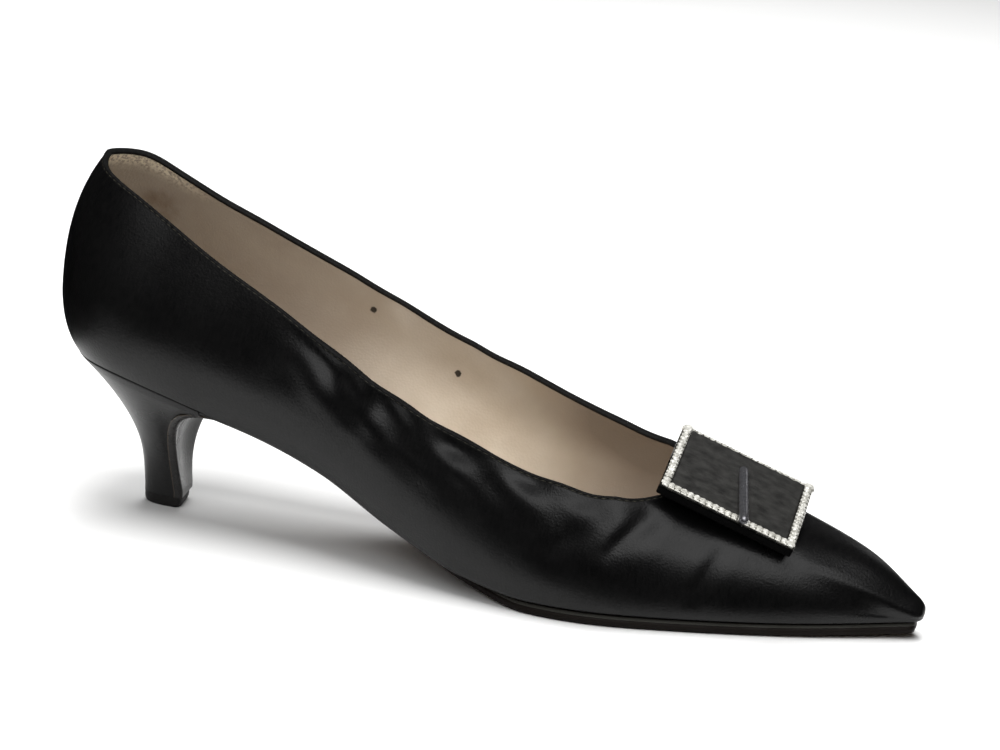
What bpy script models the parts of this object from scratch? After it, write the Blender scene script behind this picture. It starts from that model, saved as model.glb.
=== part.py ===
"""Kitten heel court shoe for a right foot, with a paste-set buckle on the vamp.

Metres, +Z up. The shoe stands on its forefoot and on its heel tip at z = 0, +X points to the toe and
-Y is the outer side of the foot. Tables are in millimetres from the rearmost point of the last, and the
finished shoe is moved so that the middle of its box lies at x = y = 0.
"""

import math
from collections import namedtuple

import bmesh
import bpy
import numpy as np
from mathutils import Euler
from mathutils import Vector
from mathutils.bvhtree import BVHTree

MM = 0.001

# Thicknesses and clearances, in millimetres
GAP = 0.3
WALL = 1.5
INSOLE_THICKNESS = 1.8
WAIST_SOLE_THICKNESS = 2.0
SOLE_EDGE_BEVEL = 0.6
BREAST_LEATHER = 1.0
BINDING_RADIUS = 1.0
INSOLE_CLEARANCE = 0.6
INSOLE_CORNER_SHARE = 0.6

# Rows of the last, from the back of the heel to the tip of the toe.
# foot_x, out_y, in_y, foot_z: feather edge on the outer and inner side of the foot
# rail_x, rail_y, rail_half, rail_z: instep ridge of the last, split into two rails over the opening
# turn: way that the section faces, 0 from the back, 90 from the side, 180 from the toe
# flare, lean: angles of the wall from upright, outwards at the feather and inwards at the rail
# low, high: how far the wall keeps those angles, as a share of its height
# out_top, in_top: height of the topline on each side
# round, margin: radius under the feather edge and width of the turned-in margin
# sole: how far the outsole's edge lies inside the feather edge
LastRow = namedtuple("LastRow", (
    "place foot_x out_y in_y foot_z rail_x rail_y rail_half rail_z "
    "turn flare lean low high out_top in_top round margin sole"))
LAST = [LastRow(*row) for row in (
    ("back", 11, 0, 0, 42.5, 28, 0, 0, 110, 0, 50, 62, .22, .44, 96.5, 96.5, 1.6, 3, 5),
    ("back turn", 14, 10.6, 10.6, 42.2, 30.5, 0, 2.2, 110, 38, 46, 55, .25, .43, 94.3, 94.9, 1.6, 3, 5),
    ("quarter", 21.5, 18, 17.6, 41.2, 35.5, 0, 3.6, 109.5, 68, 38, 41, .29, .4, 90.2, 90.6, 1.6, 3.5, 5),
    ("heel side", 34, 21.7, 21, 39, 45, 0, 4.8, 108.5, 84, 30, 28, .32, .38, 83.9, 85, 1.8, 4.5, 5),
    ("breast", 50, 21.8, 20.4, 35.5, 58, 0, 8.5, 105, 90, 30, 21, .33, .38, 76.8, 78.6, 2.4, 6, 6),
    ("seat front", 69, 21, 18.5, 30.8, 76, 0, 12, 97, 90, 32, 18, .33, .38, 68.4, 70.9, 3.6, 6, 6.5),
    ("waist", 90, 22, 17.5, 23.8, 96, 0, 16.5, 85, 90, 32, 20, .33, .38, 58.1, 61.6, 4, 6, 6.5),
    ("shank", 112, 25.8, 20.5, 13.6, 116, 0, 18.5, 72, 90, 27, 28, .33, .38, 48.6, 52.4, 4, 6, 7),
    ("ball back", 134, 30.3, 27.5, 6, 136, .5, 19, 60, 90, 18, 36, .35, .38, 41, 44.9, 3.4, 6, 4.5),
    ("ball", 154, 33, 33, 3.5, 156, 1.2, 16, 50.5, 90, 12, 54, .4, .4, 35.3, 37.5, 2.6, 6, .6),
    ("throat side", 171, 31.8, 34.2, 3.5, 175, 2.8, 11, 42.8, 90, 10, 74, .45, .48, 32.7, 32.4, 2.4, 6, .3),
    ("throat", 187, 27.2, 31.2, 3.5, 190, 4, 0, 34.7, 90, 10, 90, .48, .52, 36, 36, 2.2, 6, .3),
    ("vamp", 204, 21, 25.2, 3.6, 205, 4.3, 0, 30.5, 90, 10, 90, .48, .5, 31, 31, 2, 6, .3),
    ("vamp front", 221, 14, 19, 3.9, 221.5, 4.4, 0, 26.2, 90, 10, 90, .46, .48, 27, 27, 1.8, 6, .3),
    ("toe", 236, 6.6, 13, 4.3, 236.5, 4.2, 0, 20.6, 94, 10, 90, .44, .44, 21, 21, 1.6, 5, .3),
    ("toe turn", 246, 1.4, 9.3, 4.7, 245.5, 4, 0, 14.8, 112, 9, 90, .42, .42, 15, 15, 1.4, 3, .3),
    ("toe corner", 251.2, -1.2, 6.9, 5, 250.6, 4, 0, 11.2, 150, 8, 90, .4, .4, 11, 11, 1.2, 2, .3),
    ("tip", 252.4, -4, 4, 5.1, 252.2, 4, 0, 9.6, 180, 8, 90, .4, .4, 9, 9, 1.2, 2, .3),
)]
TIP = len(LAST) - 1
PLACE = {row.place: index for index, row in enumerate(LAST)}
THROAT = PLACE["throat"]
THROAT_SIDE = PLACE["throat side"]

# How square the throat's corners are: 2 is a round arch
THROAT_SQUARE = 2.3

# How far back along the rows the ridge's direction is taken
RIDGE_STEP = 0.4

# Grid of the upper: rows up the wall and round the feather edge, and trial heights for the topline
WALL_ROWS = 9
CORNER_ROWS = 3
TOPLINE_TRIALS = 61

# Heel: where its front edge meets the feather line, where the sole starts ahead of it, and the tip's outline
BREAST_ROW = 4.2
SOLE_ROW = 4.32
TIP_BACK = 28.6
TIP_FRONT = 41.5
TIP_HALF = 6.3
TIP_SQUARE = 0.8
TOP_PIECE_HEIGHT = 5.0
BREAST_HOLLOW = 2.5
COVER_FROM = 0.16
COVER_TO = 0.98
HEEL_SIDE_RIBS = 10
HEEL_LEVELS = 11

# Ribs of the heel: handles of the curve from the seat down to the tip
# row: place on the last; seat_in, seat_back, seat_down: handle at the seat
# tip_back, tip_out, tip_up: handle at the tip
HeelRib = namedtuple("HeelRib", "place row seat_in seat_back seat_down tip_back tip_out tip_up")
HEEL_RIBS = [HeelRib(*rib) for rib in (
    ("back", 0, 14.5, 0, 10.5, 1.0, 0, 15),
    ("quarter", 2, 10, 0, 11, .8, 1.0, 15),
    ("side", 3, 6.5, 0, 9.5, .3, 1.5, 15),
    ("front edge", BREAST_ROW, 5, 11, 3, 2.5, 1.8, 17),
)]

# Buckle: rectangle through the middle of the stones, its bars, and its seat on the vamp.
# Its own z is 0 at the middle of the stones.
BUCKLE_LENGTH = 36
BUCKLE_WIDTH = 30
BUCKLE_CENTRE = (200.8, -3.5, 35.7)
BUCKLE_TILT = 12
BUCKLE_PITCH = 20
BUCKLE_YAW = 8.5
BAR_WIDTH = 2.8
BAR_TOP = -.3
BAR_BOTTOM = -1.5
STONES_LONG = 20
STONES_SHORT = 16
STONE_RADIUS = .75
STONE_HEIGHT = 1.0
STONE_TABLE = .55
STONE_SIDES = 6
PAD_TOP = BAR_BOTTOM - GAP
PAD_CROWN = .8
PAD_DEEPEST = -4.2
PAD_THINNEST = .4
EDGE_SAMPLES = 7
PAD_GRID = (19, 17)
PRONG_RADIUS = 1.1
PRONG_TAIL = (-.8, 9.1)
PRONG_POINT = (4.7, -16.6)

# Finishes: name, colour, roughness, metallic
Finish = namedtuple("Finish", "name colour roughness metallic")
SATIN = Finish("black_satin", (.012, .012, .013), .45, 0)
RIBBON = Finish("black_ribbon", (.01, .01, .01), .6, 0)
KID = Finish("cream_kid", (.62, .54, .42), .7, 0)
SOLE_LEATHER = Finish("sole_leather", (.05, .035, .025), .6, 0)
BLACK_LEATHER = Finish("black_leather", (.015, .014, .014), .3, 0)
SILVER = Finish("silver_paste", (.8, .8, .82), .2, 1)
BLACK_METAL = Finish("black_metal", (.02, .02, .02), .3, .6)


def clear_scene():
    """Remove every object of the starting scene."""
    for thing in list(bpy.data.objects):
        bpy.data.objects.remove(thing, do_unlink=True)


def new_collection(name):
    """Return a new collection linked to the scene."""
    collection = bpy.data.collections.new(name)
    bpy.context.scene.collection.children.link(collection)
    return collection


def make_material(finish):
    """Return a Principled material with the finish's colour, roughness and metallic value."""
    material = bpy.data.materials.new(finish.name)
    material.use_nodes = True
    shader = material.node_tree.nodes["Principled BSDF"]
    shader.inputs["Base Color"].default_value = (*finish.colour, 1)
    shader.inputs["Roughness"].default_value = finish.roughness
    shader.inputs["Metallic"].default_value = finish.metallic
    return material


def place_object(name, data, finish, collection, parent):
    """Link a new object with its own material under the parent."""
    data.materials.append(make_material(finish))
    thing = bpy.data.objects.new(name, data)
    collection.objects.link(thing)
    thing.parent = parent
    return thing


def mesh_from(name, points, faces, closed=True):
    """Return a mesh in metres from points in millimetres, with coincident points merged."""
    mesh = bpy.data.meshes.new(name)
    mesh.from_pydata([tuple(point) for point in np.asarray(points) * MM], [], faces)
    work = bmesh.new()
    work.from_mesh(mesh)
    bmesh.ops.remove_doubles(work, verts=work.verts, dist=.00002)
    bmesh.ops.dissolve_degenerate(work, edges=work.edges, dist=.00001)
    if closed:
        bmesh.ops.recalc_face_normals(work, faces=work.faces)
    work.to_mesh(mesh)
    work.free()
    mesh.shade_smooth()
    mesh.set_sharp_from_angle(angle=math.radians(40))
    return mesh


def closed_spline(values, at):
    """Cubic spline through values spaced evenly round a closed loop."""
    values = np.asarray(values, dtype=float)
    count = len(values)
    system = 4 * np.eye(count) + np.roll(np.eye(count), 1, axis=1) + np.roll(np.eye(count), -1, axis=1)
    bend = np.linalg.solve(system, 6 * (np.roll(values, -1, 0) - 2 * values + np.roll(values, 1, 0)))
    start = np.floor(at).astype(int)
    ahead = (at - start)[:, None]
    start = start % count
    end = (start + 1) % count
    behind = 1 - ahead
    return (behind * values[start] + ahead * values[end]
            + ((behind ** 3 - behind) * bend[start] + (ahead ** 3 - ahead) * bend[end]) / 6)


def steady_curve(knots, values, at):
    """Monotone cubic curve through values, which never swings past them."""
    knots = np.asarray(knots, dtype=float)
    values = np.asarray(values, dtype=float)
    span = np.diff(knots)
    rise = np.diff(values) / span
    slope = np.zeros(len(values))
    same_way = rise[:-1] * rise[1:] > 0
    share = np.where(same_way, rise[:-1] + rise[1:], 1)
    slope[1:-1] = np.where(same_way, 2 * rise[:-1] * rise[1:] / share, 0)
    cell = np.clip(np.searchsorted(knots, at, side="right") - 1, 0, len(span) - 1)
    t = (at - knots[cell]) / span[cell]
    return ((1 + 2 * t) * (1 - t) ** 2 * values[cell] + t * (1 - t) ** 2 * span[cell] * slope[cell]
            + t ** 2 * (3 - 2 * t) * values[cell + 1] + t ** 2 * (t - 1) * span[cell] * slope[cell + 1])


def last_column(name, rows):
    """Column of the last's table at fractional rows."""
    return steady_curve(np.arange(TIP + 1), [getattr(row, name) for row in LAST], rows)


def last_loop(columns, place):
    """Closed curve round the last: inner side from heel to toe, then outer side back to the heel."""
    inner = [columns(row, 1) for row in LAST]
    outer = [columns(row, -1) for row in LAST]
    return closed_spline(inner + outer[-2:0:-1], place)


class LastLine:
    """Feather edge, rails and facing of the last at places round its loop.

    A place runs from 0 at the back of the heel along the inner side to TIP, and on along the outer side
    to 2 * TIP at the back again.
    """

    def __init__(self, place):
        place = np.asarray(place, dtype=float)
        self.side = np.where(place <= TIP, 1.0, -1.0)
        self.row = np.where(place <= TIP, place, 2 * TIP - place)
        self.foot = last_loop(lambda row, side: (row.foot_x, row.in_y if side > 0 else -row.out_y), place)
        self.foot = np.column_stack([self.foot, last_column("foot_z", self.row)])
        self.rail = last_loop(lambda row, side: (row.rail_x, row.rail_y, row.rail_z), place)
        behind = last_loop(lambda row, side: (row.rail_x, row.rail_y, row.rail_z), place - RIDGE_STEP * self.side)
        self.ridge_way = unit(self.rail - behind)
        self.rail[:, 1] += self.side * last_column("rail_half", self.row)
        turn = np.radians(last_column("turn", self.row))
        self.facing = np.column_stack([np.cos(turn), -self.side * np.sin(turn), np.zeros(len(turn))])

    def column(self, name):
        """Column of the last's table at these places, ready to scale vectors."""
        return last_column(name, self.row)[:, None]

    def wall(self, share):
        """Points of the wall: share 0 at the top of the feather's rounding, 1 at the rail."""
        upright = np.array([0, 0, 1.0])
        flare = np.radians(self.column("flare"))
        lean = np.radians(self.column("lean"))
        rise = upright * np.cos(flare) - self.facing * np.sin(flare)
        start = self.foot + self.column("round") * rise
        forward = np.where(self.row[:, None] > THROAT, self.ridge_way, [1.0, 0, 0])
        inward = unit(self.facing[:, :1] * forward + self.facing * [0, 1, 0])
        arrive = upright * np.cos(lean) + inward * np.sin(lean)
        height = np.linalg.norm(self.rail - start, axis=1)[:, None]
        low = start + self.column("low") * height * rise
        high = self.rail - self.column("high") * height * arrive
        t = np.asarray(share, dtype=float)[:, :, None]
        return ((1 - t) ** 3 * start[:, None] + 3 * t * (1 - t) ** 2 * low[:, None]
                + 3 * t ** 2 * (1 - t) * high[:, None] + t ** 3 * self.rail[:, None])

    def topline(self):
        """Share of the wall where the topline cuts it; 1 over the closed vamp."""
        trial = np.tile(np.linspace(0, 1, TOPLINE_TRIALS), (len(self.row), 1))
        level = np.where(self.side > 0, last_column("in_top", self.row), last_column("out_top", self.row))
        heights = self.wall(trial)[:, :, 2]
        cut = np.array([np.interp(z, climb, trial[0]) for z, climb in zip(level, heights)])
        corner = LastLine.corner_share()
        corner = np.where(self.side > 0, corner[0], corner[1])
        past = np.clip(self.row - THROAT_SIDE, 0, 1)
        closing = 1 - (1 - corner) * (1 - past ** THROAT_SQUARE) ** (1 / THROAT_SQUARE)
        return np.where(self.row <= THROAT_SIDE, cut, closing)

    @staticmethod
    def corner_share():
        """Wall shares of the topline on the inner and outer side, where the throat starts to round."""
        ends = LastLine([THROAT_SIDE, 2 * TIP - THROAT_SIDE])
        trial = np.tile(np.linspace(0, 1, TOPLINE_TRIALS), (2, 1))
        levels = (LAST[THROAT_SIDE].in_top, LAST[THROAT_SIDE].out_top)
        return [np.interp(z, climb, trial[0]) for z, climb in zip(levels, ends.wall(trial)[:, :, 2])]


def upper_places():
    """Places of the upper's columns round the loop, closer where the throat turns."""
    breast = PLACE["breast"]
    toe_start = PLACE["toe"]
    heel = np.linspace(0, breast, 13)[:-1]
    sides = np.linspace(breast, THROAT_SIDE, 19)[:-1]
    throat = THROAT_SIDE + np.sin(np.linspace(0, math.pi / 2, 8))[:-1]
    vamp = np.linspace(THROAT, toe_start, 8)[:-1]
    toe = np.linspace(toe_start, TIP, 10)
    inner = np.concatenate([heel, sides, throat, vamp, toe])
    return np.concatenate([inner, 2 * TIP - inner[-2:0:-1]])


def upper_surface(place):
    """Outer surface of the upper: a grid of columns round the last and rows from margin to topline."""
    line = LastLine(place)
    radius = line.column("round")
    flare = np.radians(line.column("flare"))
    rise = np.array([0, 0, 1.0]) * np.cos(flare) - line.facing * np.sin(flare)
    under = [line.foot + line.column("margin") * line.facing]
    for t in np.linspace(0, 1, CORNER_ROWS + 1)[:-1]:
        under.append(line.foot + (1 - t) ** 2 * radius * line.facing + t ** 2 * radius * rise)
    top = line.topline()[:, None]
    even = np.minimum(top, min(LastLine.corner_share()))
    climb = np.linspace(0, 1, WALL_ROWS)
    share = even * climb + (top - even) * climb ** 3
    return np.concatenate([np.stack(under, axis=1), line.wall(share)], axis=1)


def grid_faces(columns, rows, closed):
    """Quads of a grid whose points run down each column in turn."""
    last = columns if closed else columns - 1
    faces = []
    for column in range(last):
        beside = (column + 1) % columns
        for row in range(rows - 1):
            faces.append((column * rows + row, column * rows + row + 1,
                          beside * rows + row + 1, beside * rows + row))
    return faces


def unit(vectors):
    """Vectors brought to length 1."""
    return vectors / np.linalg.norm(vectors, axis=-1, keepdims=True)


def loop_chords(points):
    """Chord from the point before to the point after, round a closed loop."""
    return np.roll(points, -1, axis=0) - np.roll(points, 1, axis=0)


def build_upper(collection, parent):
    """Upper: the last's surface from the turned-in margin to the topline, thickened inwards."""
    grid = upper_surface(upper_places())
    columns, rows = grid.shape[:2]
    mesh = mesh_from("upper", grid.reshape(-1, 3), grid_faces(columns, rows, True), closed=False)
    upper = place_object("upper", mesh, SATIN, collection, parent)
    wall = upper.modifiers.new("wall", "SOLIDIFY")
    wall.thickness = WALL * MM
    wall.offset = -1
    return upper


def build_binding(collection, parent):
    """Binding: a cord seated on the rim of the topline all the way round."""
    place = upper_places()
    open_part = LastLine(place).row <= THROAT
    grid = upper_surface(place)
    climb = grid[:, -1] - grid[:, -2]
    normals = unit(np.cross(loop_chords(grid[:, -1]), climb)[open_part])
    edge = grid[:, -1][open_part]
    order = np.roll(np.arange(len(edge)), len(edge) // 2)
    edge = edge[order]
    normals = normals[order]
    outward = unit(np.cross(loop_chords(edge), normals))
    centre = edge - normals * WALL / 2 - outward * (GAP + BINDING_RADIUS)
    curve = bpy.data.curves.new("topline_binding", "CURVE")
    curve.dimensions = "3D"
    curve.bevel_depth = BINDING_RADIUS * MM
    curve.bevel_resolution = 1
    spline = curve.splines.new("POLY")
    spline.points.add(len(centre) - 1)
    for point, spot in zip(spline.points, centre * MM):
        point.co = (*spot, 1)
    spline.use_cyclic_u = True
    return place_object("topline_binding", curve, RIBBON, collection, parent)


def sheet_between(outer, inner):
    """Closed slab between an upper and a lower cross-line at each station.

    outer and inner hold the edge points of each station on the two sides, as (top, bottom) pairs.
    """
    rings = np.stack([outer[0], inner[0], inner[1], outer[1]], axis=1)
    stations = len(rings)
    points = rings.reshape(-1, 3)
    faces = []
    for station in range(stations - 1):
        for corner in range(4):
            beside = (corner + 1) % 4
            faces.append((station * 4 + corner, station * 4 + beside,
                          station * 4 + 4 + beside, station * 4 + 4 + corner))
    faces.append((3, 2, 1, 0))
    end = (stations - 1) * 4
    faces.append((end, end + 1, end + 2, end + 3))
    return points, faces


def build_slab(name, rows, inset, top, thickness, bevel, finish, collection, parent):
    """Slab that follows the feather edge: insole or outsole."""
    edges = []
    for place in (2 * TIP - rows, rows):
        line = LastLine(place)
        edge = line.foot + inset[:, None] * line.facing
        upper_edge = edge + np.array([0, 0, 1.0]) * top[:, None]
        lower_edge = upper_edge - np.array([0, 0, 1.0]) * thickness[:, None] + bevel * line.facing
        edges.append((upper_edge, lower_edge))
    points, faces = sheet_between(edges[0], edges[1])
    mesh = mesh_from(name, points, faces)
    return place_object(name, mesh, finish, collection, parent)


def build_insole(collection, parent):
    """Insole: lies on the turned-in margin, clear of the wall all round."""
    rows = np.concatenate([np.linspace(0, PLACE["breast"], 11), np.linspace(PLACE["breast"], PLACE["toe turn"], 26)[1:]])
    radius = last_column("round", rows)
    inset = WALL + INSOLE_CLEARANCE + INSOLE_CORNER_SHARE * np.maximum(radius - WALL, 0)
    slope = np.gradient(last_column("foot_z", rows), last_column("foot_x", rows))
    top = WALL * np.hypot(1, slope) + GAP + INSOLE_THICKNESS
    thickness = np.full(len(rows), INSOLE_THICKNESS)
    return build_slab("insole", rows, inset, top, thickness, 0, KID, collection, parent)


def build_outsole(collection, parent):
    """Outsole: from the heel breast along the waist to the toe, flat on the floor under the ball."""
    rows = np.concatenate([np.linspace(SOLE_ROW, PLACE["toe"], 30), np.linspace(PLACE["toe"], TIP, 13)[1:]])
    floor_drop = LAST[PLACE["ball"]].foot_z - GAP
    thickness = steady_curve([BREAST_ROW, PLACE["waist"], PLACE["ball"], TIP],
                             [WAIST_SOLE_THICKNESS, WAIST_SOLE_THICKNESS, floor_drop, floor_drop], rows)
    inset = last_column("sole", rows)
    top = np.full(len(rows), -GAP)
    return build_slab("outsole", rows, inset, top, thickness, SOLE_EDGE_BEVEL, SOLE_LEATHER,
                      collection, parent)


def heel_curves(place, share):
    """Heel surface: from the seat (share 0) to the tip (share 1) below each place of the last."""
    line = LastLine(place)
    seat = line.foot - [0, 0, GAP]
    sweep = line.row / BREAST_ROW * math.pi / 2
    tip = np.column_stack([
        TIP_FRONT - (TIP_FRONT - TIP_BACK) * np.cos(sweep),
        line.side * TIP_HALF * np.sin(sweep) ** TIP_SQUARE,
        np.full(len(sweep), TOP_PIECE_HEIGHT)])
    handle = {name: steady_curve([rib.row for rib in HEEL_RIBS],
                                 [getattr(rib, name) for rib in HEEL_RIBS], line.row)[:, None]
              for name in HeelRib._fields[2:]}
    forward = np.array([1.0, 0, 0])
    upright = np.array([0, 0, 1.0])
    sideways = line.side[:, None] * np.array([0, 1.0, 0])
    high = (seat + handle["seat_in"] * line.facing - handle["seat_back"] * forward
            - handle["seat_down"] * upright)
    low = (tip - handle["tip_back"] * forward + handle["tip_out"] * sideways
           + handle["tip_up"] * upright)
    t = np.asarray(share, dtype=float)[None, :, None]
    return ((1 - t) ** 3 * seat[:, None] + 3 * t * (1 - t) ** 2 * high[:, None]
            + 3 * t ** 2 * (1 - t) * low[:, None] + t ** 3 * tip[:, None])


def breast_surface(share, across):
    """Hollow front face of the heel between its two front edges."""
    edges = heel_curves([BREAST_ROW, 2 * TIP - BREAST_ROW], share)
    t = np.asarray(across)[:, None, None]
    face = (1 - t) * edges[0] + t * edges[1]
    hollow = BREAST_HOLLOW * np.sin(math.pi * np.asarray(share))[None, :] * np.sin(math.pi * t[:, :, 0])
    face[:, :, 0] -= hollow
    return face


def build_heel(collection, parent):
    """Heel: covered block from the seat to the top piece, with a hollow breast."""
    side_rows = np.linspace(0, BREAST_ROW, HEEL_SIDE_RIBS)
    share = np.linspace(0, 1, HEEL_LEVELS)
    across = np.linspace(0, 1, 6)[1:-1]
    inner = heel_curves(side_rows[::-1], share)
    outer = heel_curves(2 * TIP - side_rows[1:], share)
    breast = breast_surface(share, across)[::-1]
    grid = np.concatenate([inner, outer, breast])
    columns, rows = grid.shape[:2]
    faces = grid_faces(columns, rows, True)
    ribs = len(side_rows)
    for level in (0, rows - 1):
        cap = []
        for rib in range(ribs - 1):
            mirror = 2 * ribs - 2 - rib
            beyond = [2 * ribs - 1 + k for k in range(len(across))] if rib == 0 else []
            cap.append([rib + 1, rib] + beyond[::-1] + [mirror, mirror - 1])
        for loop in cap:
            ring = list(dict.fromkeys(column * rows + level for column in loop))
            faces.append(tuple(ring) if level == 0 else tuple(ring[::-1]))
    mesh = mesh_from("heel", grid.reshape(-1, 3), faces)
    return place_object("heel", mesh, SATIN, collection, parent)


def build_breast_cover(collection, parent):
    """Leather flap down the front of the heel, from under the sole's end to the top piece."""
    share = np.linspace(COVER_FROM, COVER_TO, HEEL_LEVELS)
    across = np.linspace(1, 0, 9)
    face = breast_surface(share, across)
    normals = unit(np.cross(np.gradient(face, axis=1), np.gradient(face, axis=0)))
    normals *= np.sign(normals[:, :, :1])
    seat = face + normals * GAP
    mesh = mesh_from("breast_cover", seat.reshape(-1, 3), grid_faces(*seat.shape[:2], False), closed=False)
    cover = place_object("breast_cover", mesh, BLACK_LEATHER, collection, parent)
    leather = cover.modifiers.new("leather", "SOLIDIFY")
    leather.thickness = BREAST_LEATHER * MM
    leather.offset = 1
    return cover


def build_top_piece(collection, parent):
    """Top piece: flat lift of the tip's outline that stands on the floor."""
    rows = np.linspace(0, BREAST_ROW, HEEL_SIDE_RIBS)
    ring = np.concatenate([heel_curves(rows[::-1], [1.0])[:, 0], heel_curves(2 * TIP - rows[1:], [1.0])[:, 0]])
    curve = bpy.data.curves.new("top_piece", "CURVE")
    curve.dimensions = "2D"
    curve.fill_mode = "BOTH"
    curve.extrude = (TOP_PIECE_HEIGHT - GAP) / 2 * MM
    spline = curve.splines.new("POLY")
    spline.points.add(len(ring) - 1)
    for point, spot in zip(spline.points, ring * MM):
        point.co = (spot[0], spot[1], 0, 1)
    spline.use_cyclic_u = True
    piece = place_object("top_piece", curve, BLACK_LEATHER, collection, parent)
    piece.location.z = curve.extrude
    return piece


def build_buckle_seat(collection, parent):
    """Empty at the middle of the buckle, turned as the buckle lies on the vamp."""
    seat = bpy.data.objects.new("buckle_seat", None)
    collection.objects.link(seat)
    seat.parent = parent
    seat.location = Vector(BUCKLE_CENTRE) * MM
    seat.rotation_euler = Euler([math.radians(angle) for angle in (BUCKLE_TILT, BUCKLE_PITCH, BUCKLE_YAW)])
    bpy.context.view_layer.update()
    return seat


def heights_below(carrier, seat, xs, ys):
    """Height of a carrier straight below each spot of a grid, in the seat's own millimetres."""
    tree = BVHTree.FromObject(carrier, bpy.context.evaluated_depsgraph_get())
    down = (seat.matrix_world.to_3x3() @ Vector((0, 0, -1))).normalized()
    heights = np.full((len(xs), len(ys)), PAD_DEEPEST)
    for i, x in enumerate(xs):
        for j, y in enumerate(ys):
            depth = tree.ray_cast(seat.matrix_world @ (Vector((x, y, PAD_TOP)) * MM), down)[3]
            if depth is not None:
                heights[i, j] = max(PAD_DEEPEST, PAD_TOP - depth / MM)
    return heights


def spread(heights):
    """Highest value among each grid point and its neighbours."""
    framed = np.pad(heights, 1, mode="edge")
    rows, columns = heights.shape
    return np.max([framed[i:i + rows, j:j + columns] for i in range(3) for j in range(3)], axis=0)


def raised_over(heights, carrier, seat, xs, ys):
    """Grid heights raised to clear every edge of a carrier that passes between the grid's points."""
    scene = bpy.context.evaluated_depsgraph_get()
    shape = carrier.evaluated_get(scene)
    mesh = shape.to_mesh()
    into_seat = seat.matrix_world.inverted() @ carrier.matrix_world
    points = np.array([into_seat @ vertex.co for vertex in mesh.vertices]) / MM
    ends = points[[edge.vertices[:] for edge in mesh.edges]]
    shape.to_mesh_clear()
    t = np.linspace(0, 1, EDGE_SAMPLES)[:, None, None]
    spots = ((1 - t) * ends[:, 0] + t * ends[:, 1]).reshape(-1, 3)
    inside = (np.abs(spots[:, 0]) < xs[-1]) & (np.abs(spots[:, 1]) < ys[-1])
    x, y, z = spots[inside].T
    column = np.searchsorted(xs, x) - 1
    row = np.searchsorted(ys, y) - 1
    raised = heights.copy()
    for i in (0, 1):
        for j in (0, 1):
            np.maximum.at(raised, (column + i, row + j), z)
    return raised


def build_buckle_pad(seat, upper, binding, collection):
    """Pad under the buckle: crowned on top, shaped below to the vamp and the binding."""
    half_x = (BUCKLE_LENGTH + BAR_WIDTH) / 2
    half_y = (BUCKLE_WIDTH + BAR_WIDTH) / 2
    xs = np.linspace(-half_x, half_x, PAD_GRID[0])
    ys = np.linspace(-half_y, half_y, PAD_GRID[1])
    vamp = heights_below(upper, seat, xs, ys)
    vamp = np.where(vamp > PAD_DEEPEST, vamp, spread(vamp))
    below = raised_over(vamp, binding, seat, xs, ys) + GAP
    below = np.minimum(below, PAD_TOP - PAD_THINNEST)
    along, across = np.meshgrid(xs, ys, indexing="ij")
    window = (1 - (along / half_x) ** 2) ** 2 * (1 - (across / half_y) ** 2) ** 2
    top = np.stack([along, across, PAD_TOP + PAD_CROWN * window], axis=2)
    bottom = np.stack([along, across, below], axis=2)
    size = len(xs) * len(ys)
    faces = grid_faces(len(xs), len(ys), False)
    faces += [tuple(size + corner for corner in face[::-1]) for face in faces]
    index = np.arange(size).reshape(len(xs), len(ys))
    rim = np.concatenate([index[:, 0], index[-1, 1:], index[-2::-1, -1], index[0, -2:0:-1]])
    for here, beside in zip(rim, np.roll(rim, -1)):
        faces.append((here, beside, size + beside, size + here))
    points = np.concatenate([top.reshape(-1, 3), bottom.reshape(-1, 3)])
    return place_object("buckle_pad", mesh_from("buckle_pad", points, faces), SATIN, collection, seat)


def box_mesh(name, length, width, bottom, top):
    """Upright box, centred on its own z axis, between two heights."""
    work = bmesh.new()
    bmesh.ops.create_cube(work, size=1)
    bmesh.ops.scale(work, vec=Vector((length, width, top - bottom)) * MM, verts=work.verts)
    bmesh.ops.translate(work, vec=Vector((0, 0, (top + bottom) / 2)) * MM, verts=work.verts)
    mesh = bpy.data.meshes.new(name)
    work.to_mesh(mesh)
    work.free()
    return mesh


def stone_spots():
    """Middle of every stone, evenly round the buckle's rectangle."""
    xs = np.linspace(-BUCKLE_LENGTH / 2, BUCKLE_LENGTH / 2, STONES_LONG + 1)
    ys = np.linspace(-BUCKLE_WIDTH / 2, BUCKLE_WIDTH / 2, STONES_SHORT + 1)
    spots = [(x, y) for x in xs for y in (ys[0], ys[-1])]
    return spots + [(x, y) for y in ys[1:-1] for x in (xs[0], xs[-1])]


def stones_mesh():
    """All stones as cut cones, sunk a little into the bars."""
    work = bmesh.new()
    for x, y in stone_spots():
        stone = bmesh.ops.create_cone(work, cap_ends=True, segments=STONE_SIDES,
                                      radius1=STONE_RADIUS * MM, radius2=STONE_RADIUS * STONE_TABLE * MM,
                                      depth=STONE_HEIGHT * MM)
        bmesh.ops.translate(work, vec=Vector((x, y, 0)) * MM, verts=stone["verts"])
    mesh = bpy.data.meshes.new("stones")
    work.to_mesh(mesh)
    work.free()
    return mesh


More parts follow.
